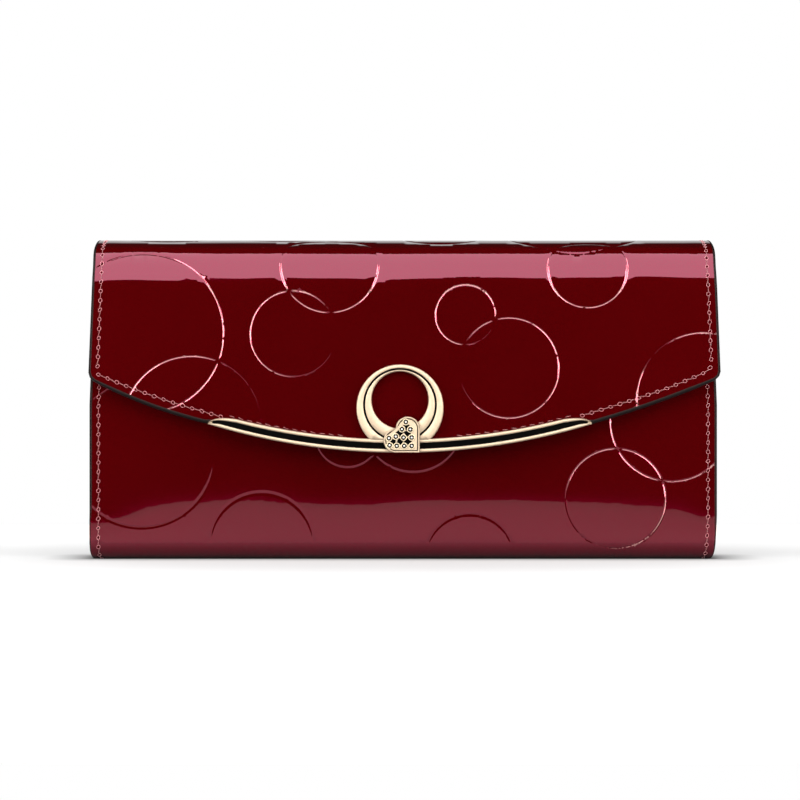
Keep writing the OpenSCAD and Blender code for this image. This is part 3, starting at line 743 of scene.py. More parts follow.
def stitches_of(stretch, lines, thread, rim_highlight, dark):
    """Thread, loops and needle-hole discs of a stretch; the light loops are a painted highlight, the dark
    discs painted shade.
    """
    piles = Pile(), Pile(), Pile()
    for line, pitch, quiet in lines:
        seam_stitches(*piles, line, stretch.low, 1e3 if stretch.is_flap else stretch.high, pitch, quiet)
    if not piles[0].count:
        return
    for pile, word, mat in zip(piles, ("stitches", "painted_hole_rim_highlights", "painted_needle_hole_shades"), (thread, rim_highlight, dark)):
        obj = pile.build(f"{word}_{stretch.name}", mat)
        stretch.attach(obj)


LINING_INSET = 0.3  # of the lining's edges from the cover's


def lining_of(stretch, material):
    """The lining's face on the inside of a stretch."""
    low, high = stretch.low, stretch.high
    if stretch.is_flap:
        loop = border_loop(stretch)
        centre = np.array([FLAP_X, loop[:, 1].mean()])
        loop = centre + (loop - centre) * [1 - LINING_INSET / FLAP_HALF_W, 1.0]
        loop[:, 1] = np.maximum(loop[:, 1], low)
        inner = grid(np.arange(-92, 92.1, 4.0), s_rows(low, LOWER[:, 1].max()))
        inner = inner[inside_loop(inner, loop)]
        xs, faces = filled(loop, inner[distance_to_line(*inner.T, LOWER) > 1.5])
    else:
        s = np.concatenate([[low], s_rows(low, high), [high]])
        across = np.linspace(-1, 1, 41)
        xs = np.array([(middle(v) + a * (half_width(v) - LINING_INSET), v) for v in s for a in across])
        faces = grid_faces(len(s), len(across))
    points = lift(*xs.T, -WALL + 0.05)
    obj = make_object("lining_" + stretch.name, points, faces, material, place=xs)
    first = obj.data.polygons[0]
    if np.dot(first.normal, facing(section(xs[:, 1])[2])[first.vertices[0]]) > 0:
        obj.data.flip_normals()
    return stretch.attach(obj)


# ---- metal trim

RIM = 1.1  # width of the bar's gold edges
INLAY_T = 0.5  # depth of the enamel's bed


def trim_piece(name, rows, closed, material, centre_z, slot_name, node):
    """A piece of the trim on the flap, from rows of points."""
    obj = make_object(name, np.concatenate(rows), grid_faces(len(rows), len(rows[0]), closed), material)
    fix_facing(obj, np.array([TRIM_X, 0.0, centre_z]))
    settle(obj, slot_name, "flap", node)


TIP_CAP = [  # distance in from the bar's tip, and its greatest height there
    (0, 0.2), (0.25, 0.7), (0.8, 1.1), (1.5, 1.38), (2.4, 1.62), (3.5, 1.78), (5.0, 1.84), (6.5, 1.78),
    (8.0, 1.62), (9.5, 1.46), (9.7, 9),
]


def trim_bar(gold, enamel):
    """The crescent bar: two gold strips with black enamel between them."""
    x = BAR_HALF * np.sin(np.linspace(-1, 1, 121) * math.pi / 2 * 0.999)
    low = bar_low(x)
    cap = np.interp(BAR_HALF - np.abs(x), *zip(*TIP_CAP))
    top = np.minimum(bar_top(x), low.max() + cap) + 0.02
    width = top - low
    rim, rim_top = np.interp(width, [0, 3.0], [0, RIM]), np.interp(width, [0, 2.8, 3.9], [0, 0.62, RIM])
    b = np.minimum(0.28, width / 6)

    def rows(profile, chosen):
        """Rows of points along the bar, from heights and depths behind its face."""
        return [np.stack([TRIM_X + x, np.full_like(x, BAR_FACE_Y + y), z], -1)[chosen] for z, y in profile]

    gold_profile = [
        (low, FLAP_Y - BAR_FACE_Y), (low, 0.45), (low + 0.3 * b, 0.15), (low + b, 0),
        (low + rim * 0.5, -0.05), (low + rim - b * 0.6, 0), (low + rim, 0.15), (low + rim, INLAY_T),
        (top - rim_top, INLAY_T),
        (top - rim_top, 0.15), (top - rim_top + b * 0.6, 0), (top - rim_top * 0.5, -0.05), (top - b, 0),
        (top - 0.3 * b, 0.15), (top, 0.45), (top, FLAP_Y - BAR_FACE_Y),
    ]
    gap = width - rim - rim_top
    enamel_profile = [
        (low + rim * 0.9, 0.36), (low + rim + 0.2 * gap, 0.33), (low + rim + 0.5 * gap, 0.32),
        (top - rim_top - 0.2 * gap, 0.33), (top - rim_top * 0.9, 0.36),
    ]
    centre_z = BAR_LOW_Z + 4
    strips, fill = rows(gold_profile, slice(None)), rows(enamel_profile, np.abs(x) < BAR_HALF - 1.3)
    trim_piece("trim_bar_gold", strips, False, gold, centre_z, "pale_gold", "trim_bar")
    trim_piece("trim_bar_enamel", fill, False, enamel, centre_z, "black_enamel", "trim_bar_inlay")


RING_Z, RING_R = BAR_LOW_Z + 13.8, 13.5  # centre and radius of the ring, its hole and its groove
HOLE_Z, HOLE_R = RING_Z + 2.5, 8.8
GROOVE_Z, GROOVE_R, GROOVE_HALF = RING_Z + 1.0, 11.1, 0.30


def trim_ring(gold, enamel):
    """The ring: thin above, thick below, with a fine dark groove, cut off where it meets the bar."""
    turn = circle(160)

    def loop(r, z, y):
        """A circle of points about (0, z), y behind the trim's face."""
        x = r * np.cos(turn)
        z = np.maximum(z + r * np.sin(turn), bar_top(x, 0.4))
        return np.stack([TRIM_X + x, np.full_like(x, BAR_FACE_Y + y), z], -1)

    low, high, back = GROOVE_R - GROOVE_HALF, GROOVE_R + GROOVE_HALF, FLAP_Y - BAR_FACE_Y
    profile = [
        (HOLE_R, HOLE_Z, back), (HOLE_R, HOLE_Z, 0.45), (HOLE_R + 0.08, HOLE_Z, 0.2),
        (HOLE_R + 0.28, HOLE_Z, 0.03), (low - 0.10, GROOVE_Z, -0.04), (low, GROOVE_Z, 0.06),
        (low, GROOVE_Z, 0.4), (high, GROOVE_Z, 0.4),
        (high, GROOVE_Z, 0.06), (high + 0.10, GROOVE_Z, -0.04), (RING_R - 0.30, RING_Z, 0.03),
        (RING_R - 0.09, RING_Z, 0.2), (RING_R, RING_Z, 0.45), (RING_R, RING_Z, back),
    ]
    rows = [loop(*p) for p in profile]
    fill = [loop(r, GROOVE_Z, y) for r, y in ((low - 0.02, 0.22), (GROOVE_R, 0.16), (high + 0.02, 0.22))]
    trim_piece("trim_ring_gold", rows, True, gold, RING_Z, "pale_gold", "trim_ring")
    trim_piece("trim_ring_enamel", fill, True, enamel, RING_Z, "black_enamel", "trim_ring_inlay")


HEART_SIDE = 7.45  # of its square part, which stands on a corner
HEART_TIP_X = high_of("heart_setting")[0]
HEART_FACE_Y = low_of("heart_setting")[1]
GEM_R = 0.31
STONES = [  # x and z from the heart's tip
    (-2.5, 2.1), (-4.8, 2.1), (-7.1, 2.1), (-9.3, 2.3), (-2.5, 4.7), (-5.0, 4.7),
    (-7.4, 5.0), (-9.5, 4.5), (-2.9, 7.2), (-5.5, 7.3), (-4.3, 9.5),
]
BEADS = [  # star-shaped holes between the stones, drawn as flat painted shade
    (-3.7, 3.4), (-6.1, 3.45), (-8.3, 3.45), (-3.75, 6.0), (-6.2, 6.2), (-4.3, 8.0),
]


def heart_loop(inset):
    """The heart's outline pulled in by inset, as (x, z) from its tip: a square and two half discs."""
    r = HEART_SIDE / 2
    rho = r - inset
    side = [(-inset, z) for z in np.linspace(inset, HEART_SIDE, 14, endpoint=False)]
    notch = (-6 * r - math.sqrt(36 * r * r - 8 * (5 * r * r - rho * rho))) / 4
    last = math.acos(max(-1.0, (notch + r) / rho))
    arc = [(-r + rho * math.cos(t), HEART_SIDE + rho * math.sin(t)) for t in np.linspace(0, last, 30)]
    half = side + arc
    other = [(-z, -x) for x, z in half[1:-1][::-1]]
    return np.array(half + other)


def on_heart(x, z, y):
    """Points in mm for places (x, z) from the heart's tip, y behind its face."""
    return np.stack([HEART_TIP_X + x, np.broadcast_to(HEART_FACE_Y + y, np.shape(x)), BAR_LOW_Z + z], -1)


def heart_ring(x, z, r, depth, turns):
    """Points round (x, z) on the heart, at radius r."""
    return on_heart(x + r * np.cos(turns), z + r * np.sin(turns), depth)


def heart(gold, bright, dark, crystal):
    """The heart: a raised rim round a plate, stones in settings, and painted shade: a dark disc behind each
    stone, dark stars between them and a dark band inside the rim.
    """
    rows = [on_heart(*heart_loop(inset).T, depth) for inset, depth in (
        (0, 1.4), (0, 0.5), (0.05, 0.24), (0.15, 0.07), (0.30, 0), (0.45, 0.07), (0.53, 0.18), (0.56, 0.50))]
    faces = grid_faces(len(rows), len(rows[0]), closed=True)
    rim = make_object("heart_frame", np.concatenate(rows), faces, gold)
    fix_facing(rim, np.array([HEART_TIP_X - 4.6, HEART_FACE_Y + 5, BAR_LOW_Z + 4.6]))
    inner = on_heart(*heart_loop(0.54).T, 0.32)
    plate = make_object("heart_plate", inner, [tuple(range(len(inner)))], gold, smooth=False)

    settings, cuts, gems = Pile(), Pile(), Pile()
    lanes = [(0.76, 0.40), (0.78, 0.16), (0.84, 0.07), (0.95, 0.07), (1.03, 0.15), (1.05, 0.36)]
    for x, z in STONES:
        settings.band([heart_ring(x, z, r, depth, circle(24)) for r, depth in lanes])
        # a dark disc behind the stone: painted shade round it
        cuts.add(heart_ring(x, z, 0.79, 0.27, circle(24)), [tuple(range(24))])
        for prong in heart_ring(x, z, 0.70, 0.04, math.pi / 4 + circle(4) + 0.3 * x):
            ball(settings, prong, 0.13)
        gem(gems, x, z)
    # dark stars between the stones and a dark band inside the rim: painted shade
    for i, (x, z) in enumerate(BEADS):
        star = heart_ring(x, z, np.tile([1.35, 0.85], 4), 0.295, circle(8) + 0.4 * i)
        cuts.add(star, [tuple(range(8))])
    cuts.band([on_heart(*heart_loop(inset).T, 0.29) for inset in (0.57, 0.84)])
    settle(rim, "pale_gold", "flap", "heart_setting")
    settle(plate, "pale_gold", "flap")
    settle(settings.build("heart_stone_settings", bright), "pale_gold", "flap")
    settle(cuts.build("heart_painted_shade", dark, smooth=False), "black_enamel", "flap")
    settle(gems.build("heart_gems", crystal, smooth=False), "stones", "flap", "heart_stones")


def ball(pile, at, r, rows=6, columns=10):
    """A small ball, in mm."""
    turns = circle(columns)
    levels = []
    for up in np.linspace(-0.499 * math.pi, 0.499 * math.pi, rows):
        level = r * math.cos(up)
        offsets = [level * np.cos(turns), np.full(columns, r * math.sin(up)), level * np.sin(turns)]
        levels.append(at + np.stack(offsets, -1))
    pile.band(levels)


def gem(pile, x, z):
    """A round cut stone: flat table, eight large facets, a girdle and a cone behind."""
    table = heart_ring(x, z, 0.5 * GEM_R, -0.14, circle(8) + 0.2)
    girdle = heart_ring(x, z, GEM_R, 0.10, circle(16) + 0.2)
    foot = on_heart(np.array([x]), np.array([z]), 0.52)
    faces = [tuple(range(8))]
    for i in range(8):
        j = (i + 1) % 8
        a, b, c = 8 + 2 * i, 8 + (2 * i + 1) % 16, 8 + (2 * i + 2) % 16
        faces += [(i, a, b), (i, b, j), (j, b, c), (a, 24, b), (b, 24, c)]
    pile.add(np.concatenate([table, girdle, foot]), faces)


def lathe(pile, centre, profile, columns=48):
    """Adds a turned shape about a line along Y through centre (x, z); profile is (radius, y)."""
    (x, z), across, up = centre, np.cos(circle(columns)), np.sin(circle(columns))
    pile.band([np.stack([x + r * across, np.full(columns, y), z + r * up], -1) for r, y in profile])


SCREW_R = 1.3  # of the heads


def snap_parts(metal, steel):
    """The snap's stud inside the flap, its socket on the front panel, and the heads of the trim's screws."""
    (stud_low, stud_high), face = (low_of("snap_stud"), high_of("snap_stud")), low_of("snap_socket")[1]
    middle_at = TRIM_X, (stud_low[2] + stud_high[2]) / 2
    y, tip, wall = stud_low[1] + 0.6, stud_high[1], face + 1.0
    stud, socket, heads = Pile(), Pile(), Pile()
    lathe(stud, middle_at, [
        (0.01, tip), (1.0, tip), (1.5, tip - 0.15), (1.75, tip - 0.5), (1.8, tip - 0.9), (1.55, tip - 1.4),
        (1.6, y + 0.95), (2.2, y + 0.75), (4.6, y + 0.72), (4.9, y + 0.55), (5.3, y + 0.55),
        (5.6, y + 0.78), (6.4, y + 0.74), (6.8, y + 0.5), (6.95, y + 0.1), (6.95, y - 0.05)])
    lathe(socket, middle_at, [
        (6.95, wall + 0.05), (6.95, face + 0.6), (6.75, face + 0.2), (6.3, face), (5.6, face + 0.02),
        (5.3, face + 0.25), (4.9, face + 0.25), (4.5, face), (3.2, face + 0.02), (2.85, face + 0.2),
        (2.65, face + 0.5), (2.6, face + 1.2), (2.6, wall + 0.9)])
    (left, _, low), (right, head, high) = low_of("trim_screws"), high_of("trim_screws")
    for x in (left + SCREW_R, right - SCREW_R):
        lathe(heads, (x, (low + high) / 2), [
            (0.7, FLAP_Y + 0.1), (0.7, head - 0.45), (SCREW_R, head - 0.45), (SCREW_R, head - 0.2),
            (1.1, head - 0.05), (0.6, head), (0.01, head)], 24)
    settle(stud.build("snap_stud_turned", metal), "snap_metal", "flap", "snap_stud")
    settle(socket.build("snap_socket_turned", metal), "snap_metal", "front_panel", "snap_socket")
    settle(heads.build("trim_screw_heads", steel), "steel", "flap", "trim_screws")


# ---- materials


def material(name, colour, roughness, metallic=0.0, **sockets):
    """A principled material; sockets are set by name."""
    mat = bpy.data.materials.new(name)
    mat.use_nodes = True
    sockets.update(Base_Color=(*colour, 1), Roughness=roughness, Metallic=metallic)
    for key, value in sockets.items():
        feed(mat, key.replace("_", " "), value)
    return mat


def plug(socket, value):
    """Feeds an input: with a link where value is another node's output, or with a fixed value."""
    if isinstance(value, bpy.types.NodeSocket):
        socket.id_data.links.new(value, socket)
    else:
        socket.default_value = value


def add(owner, kind, feeds=(), **settings):
    """A node in a material or world, with its settings and what feeds its inputs. Returns its outputs."""
    node = owner.node_tree.nodes.new(kind)
    for key, value in settings.items():
        setattr(node, key, value)
    for key, value in dict(feeds).items():
        plug(node.inputs[key], value)
    return node.outputs


def feed(mat, socket, value):
    """Feeds one of the main shader's inputs."""
    plug(mat.node_tree.nodes["Principled BSDF"].inputs[socket], value)


def where(mat, flat=False):
    """Where a texture lies: on the flat leather, or on the object."""
    if flat:
        return add(mat, "ShaderNodeAttribute", attribute_name="place")["Vector"]
    return add(mat, "ShaderNodeTexCoord")["Object"]


def bump(mat, height, distance, strength=1.0, into="Normal"):
    """Raises the surface by height; distance is in mm."""
    feeds = {"Strength": strength, "Distance": distance * MM, "Height": height}
    feed(mat, into, add(mat, "ShaderNodeBump", feeds)["Normal"])


def noise(mat, at, scale, detail=2.0, roughness=0.5, out=0):
    """Noise with features about 1000 / scale mm across."""
    feeds = {"Vector": at, "Scale": scale, "Detail": detail, "Roughness": roughness}
    return add(mat, "ShaderNodeTexNoise", feeds)[out]


def mix(mat, amount, low, high, **settings):
    """A colour between two."""
    return add(mat, "ShaderNodeMix", {0: amount, 6: low, 7: high}, data_type="RGBA", **settings)[2]


def vary(mat, source, low, high, socket="Base Color"):
    """Drives one of the shader's inputs from low to high: between two colours, or two numbers."""
    if socket == "Base Color":
        feed(mat, socket, mix(mat, source, (*low, 1), (*high, 1)))
    else:
        feed(mat, socket, add(mat, "ShaderNodeMapRange", {0: source, 3: low, 4: high})[0])


def patent():
    """Lacquered wine-red leather: a deep base with a red sheen under a clear, slightly wavy coat, and a
    painted highlight along the embossed lines.
    """
    mat = material("patent_leather", (0.035, 0.0002, 0.0005), 0.05, Specular_Tint=(1.0, 0.01, 0.2, 1),
                   IOR=1.645, Coat_Weight=1.0, Coat_Roughness=0.012, Coat_IOR=1.367)
    at = where(mat, flat=True)
    tone = mix(mat, noise(mat, at, 45, 3.0, 0.6), (0.039, 0.0001, 0.0004, 1), (0.046, 0.0003, 0.0008, 1))
    # a light pink painted along the embossed lines stands in for their highlights
    painted_highlight_amount = add(mat, "ShaderNodeAttribute", attribute_name="painted_highlight")["Fac"]
    feed(mat, "Base Color", mix(mat, painted_highlight_amount, tone, (0.44, 0.26, 0.24, 1)))
    grain = noise(mat, at, 2600, 2.0, 0.6)
    vary(mat, grain, 0.03, 0.08, "Roughness")
    bump(mat, grain, 0.004, 0.2)
    bump(mat, noise(mat, at, 260, 1.0, 0.4), 0.002, 0.6, into="Coat Normal")
    return mat


def edge_paint():
    """Black paint on the cut edges, a little lumpy."""
    mat = material("edge_paint", (0.006, 0.004, 0.004), 0.5, Specular_IOR_Level=0.05)
    lumps = noise(mat, where(mat), 700, 3.0)
    bump(mat, lumps, 0.04, 0.6)
    vary(mat, lumps, 0.42, 0.6, "Roughness")
    return mat


def grained(name, low, high, roughness, cell=1100, depth=0.10):
    """Soft leather with a pebbled grain."""
    mat = material(name, low, roughness, Specular_IOR_Level=0.22)
    at = where(mat)
    feeds = {0: noise(mat, at, 500, 2.0, out=1), 1: (0.0012, 0.0012, 0.0012), 2: at}
    warped = add(mat, "ShaderNodeVectorMath", feeds, operation="MULTIPLY_ADD")[0]
    cells = add(mat, "ShaderNodeTexVoronoi", {"Vector": warped, "Scale": cell}, feature="DISTANCE_TO_EDGE")
    bump(mat, cells[0], depth, 0.8)
    cloud = noise(mat, at, 120, 4.0)
    vary(mat, cloud, low, high)
    vary(mat, cloud, roughness - 0.08, roughness + 0.08, "Roughness")
    return mat


def woven(name, low, high, roughness, flat=False, pitch=0.55):
    """Cloth: warp and weft threads crossing."""
    mat = material(name, low, roughness, Sheen_Weight=0.06, Sheen_Roughness=0.4, Specular_IOR_Level=0.2)
    scale = math.pi / 10 / pitch / MM
    feeds = {"Vector": where(mat, flat), "Scale": scale, "Distortion": 0.6, "Detail Scale": 300}
    warp = add(mat, "ShaderNodeTexWave", feeds, bands_direction="X")[1]
    weft = add(mat, "ShaderNodeTexWave", feeds, bands_direction="Y" if flat else "Z")[1]
    both = add(mat, "ShaderNodeMath", {0: warp, 1: weft}, operation="MAXIMUM")[0]
    bump(mat, both, 0.10, 0.9)
    vary(mat, both, low, high)
    return mat


def thread_material(name, low, high):
    """Twisted thread."""
    mat = material(name, low, 0.5, Sheen_Weight=0.5, Sheen_Roughness=0.4)
    feeds = {"Vector": where(mat), "Scale": 700, "Distortion": 0.4}
    twist = add(mat, "ShaderNodeTexWave", feeds, bands_direction="DIAGONAL")[1]
    bump(mat, twist, 0.08, 0.9)
    vary(mat, twist, low, high)
    return mat


def plated(name, colour, roughness):
    """Polished or brushed plated metal with faint marks."""
    mat = material(name, colour, roughness, 1.0)
    at = where(mat)
    vary(mat, noise(mat, at, 900, 4.0, 0.6), roughness * 0.8, roughness * 1.35, "Roughness")
    bump(mat, noise(mat, at, 180, 1.0), 0.012, 0.8)
    return mat


def enamel_material(name):
    """Black enamel, nearly without shine."""
    mat = material(name, (0.0012, 0.0012, 0.0012), 0.2, Specular_IOR_Level=0.02)
    wave = noise(mat, where(mat), 300, 2.0)
    bump(mat, wave, 0.01, 0.6)
    vary(mat, wave, 0.2, 0.32, "Roughness")
    return mat


def crystal_material():
    """Clear cut stones."""
    mat = material("stones", (0.93, 0.94, 0.92), 0.02, Transmission_Weight=0.35, IOR=2.1)
    vary(mat, noise(mat, where(mat), 800, 1.0), 0.01, 0.05, "Roughness")
    return mat


def board_material():
    """Grey board with fibres."""
    mat = material("board", (0.22, 0.20, 0.17), 0.85)
    fibres = noise(mat, where(mat), 900, 5.0, 0.7)
    bump(mat, fibres, 0.08, 0.8)
    vary(mat, fibres, (0.16, 0.14, 0.12), (0.28, 0.26, 0.22))
    return mat


# ---- inside pieces


def two_faced(name, points, material):
    """A closed sheet from the points of its two faces, each rows by columns by xyz."""
    _, n, m, _ = np.shape(points)
    faces = grid_faces(n, m) + grid_faces(n, m, base=n * m)
    rim = [i * m for i in range(n)] + [(n - 1) * m + j for j in range(1, m)]
    rim += [i * m + m - 1 for i in range(n - 2, -1, -1)] + list(range(m - 2, 0, -1))
    faces += [(a, b, b + n * m, a + n * m) for a, b in zip(rim, rim[1:] + rim[:1])]
    obj = make_object(name, np.reshape(points, (-1, 3)), faces, material)
    mesh = bmesh.new()
    mesh.from_mesh(obj.data)
    bmesh.ops.recalc_face_normals(mesh, faces=mesh.faces)
    mesh.to_mesh(obj.data)
    mesh.free()
    return obj


def soft_box(name, node, material, slot_name, body, wave=0.02, edge=0.22, hem=0.0, box=None):
    """A cut piece of leather in place of a CAD plate: rounded edges, slight waves, maybe a folded top hem."""
    low, high = box or (low_of(node), high_of(node))
    low, high = low + 0.04, high - 0.04
    thin = int(np.argmin(high - low))
    u, v = [i for i in range(3) if i != thin]
    half = (high[thin] - low[thin]) / 2
    edge = min(edge, half * 0.9)

    def spread(a, b):
        """Places from a to b, closer together at both ends."""
        inner = np.linspace(a + edge, b - edge, max(6, min(60, int((b - a) / 4))))
        return np.concatenate([[a, a + 0.3 * edge], inner, [b - 0.3 * edge, b]])

    us, vs = spread(low[u], high[u]), spread(low[v], high[v])
    if hem:
        below = np.array([0.6, 1.0, 2.2, 2.6, 2.9, 3.1, 3.3, 3.6]) * hem / 3
        vs = np.unique(np.concatenate([vs, high[2] - below]))
    gu, gv = np.meshgrid(us, vs, indexing="ij")
    d = np.minimum(np.minimum(gu - low[u], high[u] - gu), np.minimum(gv - low[v], high[v] - gv))
    thick = half - edge * (1 - np.sqrt(np.clip(1 - (1 - np.clip(d / edge, 0, 1)) ** 2, 0, 1)))
    sway = wave * np.sin(gu / 17.0 + gv / 23.0) * np.clip(d / 6, 0, 1)
    if hem:
        thick = thick - 0.10 * np.exp(-((high[2] - gv - hem) / 0.22) ** 2) - 0.05 * (high[2] - gv > hem)
    points = np.zeros((2, *gu.shape, 3))
    points[..., u], points[..., v] = gu, gv
    points[..., thin] = (high[thin] + low[thin]) / 2 + np.array([-1, 1])[:, None, None] * thick + sway
    settle(two_faced(name, points, material), slot_name, body, node)


FLAT_PITCH, FLAT_STITCH, FLAT_R = 3.2, 2.4, 0.2  # of the stitches on the card slots


def straight_stitches(name, lines, face_y, out, thread, body):
    """Thread lying on a flat face: lines of ((x, z), (x, z)). out is the way the face looks along Y."""
    pile = Pile()
    for p, q in lines:
        p, d = np.array(p, float), np.subtract(q, p)
        count = max(1, int(np.linalg.norm(d) / FLAT_PITCH))
        a = d / np.linalg.norm(d)
        c = np.array([-a[1], a[0]])
        for i in range(count):
            tube = []
            for t in np.linspace(-1, 1, 7):
                spot = p + d * (i + 0.5) / count + a * t * FLAT_STITCH / 2 + c * 0.1 * t
                thick = FLAT_R * math.sqrt(max(0.0, 1 - t ** 6)) + 0.01
                for turn in circle(6):
                    x, z = spot + c * thick * math.cos(turn)
                    tube.append((x, face_y + out * (0.12 - 0.26 * t ** 4 + thick * math.sin(turn)), z))
            pile.add(tube, grid_faces(7, 6, closed=True))
    settle(pile.build(name, thread), "thread", body)


def card_slots(leather, thread):
    """Card slot strips with folded top hems, a stitched line under each, and one seam down the middle."""
    for wall, count, body, toward in (("rear", 4, "case", -1), ("front", 2, "front_panel", 1)):
        for i in range(1, count + 1):
            node = f"{wall}_card_slot_{i}"
            soft_box("leather_" + node, node, leather, "slot_leather", body, wave=0.0, hem=3.0)
            low, high = low_of(node), high_of(node)
            top = high[2]
            bottom = high_of(f"{wall}_card_slot_{i + 1}")[2] if i < count else low[2] + 1
            lines = [((low[0] + 2.5, top - 2.2), (high[0] - 2.5, top - 2.2))]
            lines += [((x, top - 3.4), (x, bottom + 0.8)) for x in (low[0] + 2.2, -0.5, high[0] - 2.2)]
            face = (low if toward < 0 else high)[1] - toward * 0.02
            straight_stitches(f"stitches_{wall}_slot_{i}", lines, face, toward, thread, body)


def gusset(name, node, y_case, y_far, shelf, leather, side):
    """A V-pleated gusset between two walls.

    shelf: how far it runs out from the case's wall before the pleat turns inward.
    """
    low, high = low_of(node), high_of(node)
    inner, outer = sorted((abs(low[0]), abs(high[0])))
    toward = math.copysign(1, y_far - y_case)
    a, b = y_case + toward * 0.25, y_far - toward * 0.25
    near = a + toward * shelf
    path = soften(np.array([
        (outer - 0.1, a), (outer - 3.6, a), (outer - 3.9, near), (inner + 1.0, (near + b) / 2),
        (outer - 3.9, b), (outer - 0.1, b)]), 0.8)
    across = directions(path)[1]
    foot, top = low[2], high[2]
    z = np.r_[foot, foot + 0.3, np.linspace(foot + 2, top - 2, 16), top - 0.3, top][:, None]
    d = np.minimum(z - foot, top - z)
    thick = 0.25 * np.sqrt(1 - (1 - np.minimum(1.0, (d + 0.02) / 0.32)) ** 2)
    sway = 0.25 * np.sin(z / 9.0) * np.clip(1 - np.abs(path[:, 0] - inner - 3) / 6, 0, 1)
    points = [np.stack([side * (path[:, 0] + face * thick * across[:, 0] + sway),
                        path[:, 1] + face * thick * across[:, 1], np.broadcast_to(z, sway.shape)], -1)
              for face in (-1, 1)]
    obj = two_faced(name, points, leather)
    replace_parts(obj, node)
    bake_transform(obj)


def soften(corners, r):
    """A line through corners, each rounded with a short curve."""
    out = [corners[0]]
    for before, at, after in zip(corners[:-2], corners[1:-1], corners[2:]):
        u, v = before - at, after - at
        reach = min(r, 0.45 * np.linalg.norm(u), 0.45 * np.linalg.norm(v))
        a, b = at + u / np.linalg.norm(u) * reach, at + v / np.linalg.norm(v) * reach
        for t in np.linspace(0, 1, 6):
            out.append((1 - t) ** 2 * a + 2 * t * (1 - t) * at + t * t * b)
    out.append(corners[-1])
    return np.array(out)


TEETH = 65  # in each row of the zip


def teeth(metal, node, sign):
    """A row of cast zip teeth: a clamped root on the tape and a rounded head in the middle."""
    low, high = low_of(node), high_of(node)
    root, head = (high[1], low[1]) if sign > 0 else (low[1], high[1])
    cuts = [  # y, half width and half height
        (root + sign * 0.5, 0.34, 0.52), (root + sign * 0.42, 0.46, 0.66), (root, 0.48, 0.68),
        (root + (head - root) * 0.55, 0.42, 0.62), (head + sign * 0.28, 0.46, 0.60),
        (head + sign * 0.08, 0.38, 0.50), (head, 0.26, 0.36)]
    turns = circle(8) + math.pi / 8
    across, up = (np.sign(f(turns)) * np.abs(f(turns)) ** 0.6 for f in (np.cos, np.sin))
    last = 8 * (len(cuts) - 1)
    faces = grid_faces(len(cuts), 8, closed=True) + [tuple(range(8)), tuple(range(last, last + 8))]
    pile = Pile()
    for x in np.linspace(low[0] + 0.5, high[0] - 0.5, TEETH):
        z = (low[2] + high[2]) / 2
        rows = [np.stack([x + w * across, np.full(8, y), z + h * up], -1) for y, w, h in cuts]
        pile.add(np.concatenate(rows), faces)
    settle(pile.build(node.replace("zip_teeth", "cast_teeth"), metal), "zip_metal", "pocket", node)


def dress(node, mat, bevel=0.0):
    """Gives a CAD node its material, and small rounded edges where bevel isn't 0."""
    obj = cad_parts[node]
    obj.data.materials.clear()
    obj.data.materials.append(mat)
    if bevel:
        cut = obj.modifiers.new("Bevel", "BEVEL")
        cut.width, cut.segments, cut.angle_limit = bevel * MM, 2, math.radians(35)


# ---- building it all

PATENT, EDGE = patent(), edge_paint()
# a dark colour for the discs in the needle holes: painted shade
HOLE_SHADE = material("painted_needle_hole_shade", (0.03, 0.0008, 0.0012), 0.9, Specular_IOR_Level=0.0)
bump(HOLE_SHADE, noise(HOLE_SHADE, where(HOLE_SHADE), 3000), 0.05)
SLOT_LEATHER = grained("slot_leather", (0.070, 0.004, 0.008), (0.10, 0.007, 0.013), 0.48)
GUSSET_LEATHER = grained("gusset_leather", (0.010, 0.007, 0.008), (0.02, 0.014, 0.015), 0.5, 1400, 0.07)
LINING = woven("lining_fabric", (0.035, 0.003, 0.006), (0.075, 0.008, 0.013), 0.75, flat=True)
TAPE = woven("zip_tape", (0.008, 0.008, 0.009), (0.03, 0.03, 0.032), 0.8, pitch=0.5)
THREAD = thread_material("thread", (0.13, 0.022, 0.028), (0.22, 0.05, 0.058))
# a lighter copy of the thread for the loops round the needle holes: a painted highlight on the hole rims
HOLE_RIM_HIGHLIGHT = thread_material("painted_hole_rim_highlight", (0.42, 0.13, 0.15), (0.52, 0.20, 0.22))
GOLD = plated("pale_gold", (0.255, 0.208, 0.165), 0.6)
BRIGHT_GOLD = plated("bright_gold", (0.36, 0.31, 0.24), 0.5)
# the heart's dark pieces use the black enamel material as painted shade
RECESS_SHADE, ENAMEL = enamel_material("painted_recess_shade"), enamel_material("black_enamel")
ZIP_METAL = plated("zip_metal", (0.80, 0.66, 0.40), 0.24)
SNAP_METAL = plated("snap_metal", (0.88, 0.76, 0.52), 0.2)
STEEL = plated("steel", (0.38, 0.39, 0.40), 0.42)
CRYSTAL, BOARD = crystal_material(), board_material()

NODES = {  # the CAD pieces a stretch stands for, in leather or lining
    "front": ["front_{}"], "back": ["back_{}", "bottom_{}"], "flap": ["flap_{}"],
    "fold_a": ["fold_{}_1"], "fold_b": ["fold_{}_2"], "fold_c": ["fold_{}_3"],
}
seams = seam_lines()
for part in STRETCHES:
    nodes = NODES.get(part.name, [])
    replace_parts(leather_skin(part, PATENT), *[node.format("leather") for node in nodes])
    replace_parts(lining_of(part, LINING), *[node.format("lining") for node in nodes])
    edges_of(part, EDGE)
    stitches_of(part, seams, THREAD, HOLE_RIM_HIGHLIGHT, HOLE_SHADE)
for name, body in (("back", "case"), ("front", "front_panel"), ("flap", "flap")):
    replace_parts(bpy.data.objects["stitches_" + name], name + "_stitching")

trim_bar(GOLD, ENAMEL)
trim_ring(GOLD, ENAMEL)
heart(GOLD, BRIGHT_GOLD, RECESS_SHADE, CRYSTAL)
snap_parts(SNAP_METAL, STEEL)
card_slots(SLOT_LEATHER, THREAD)

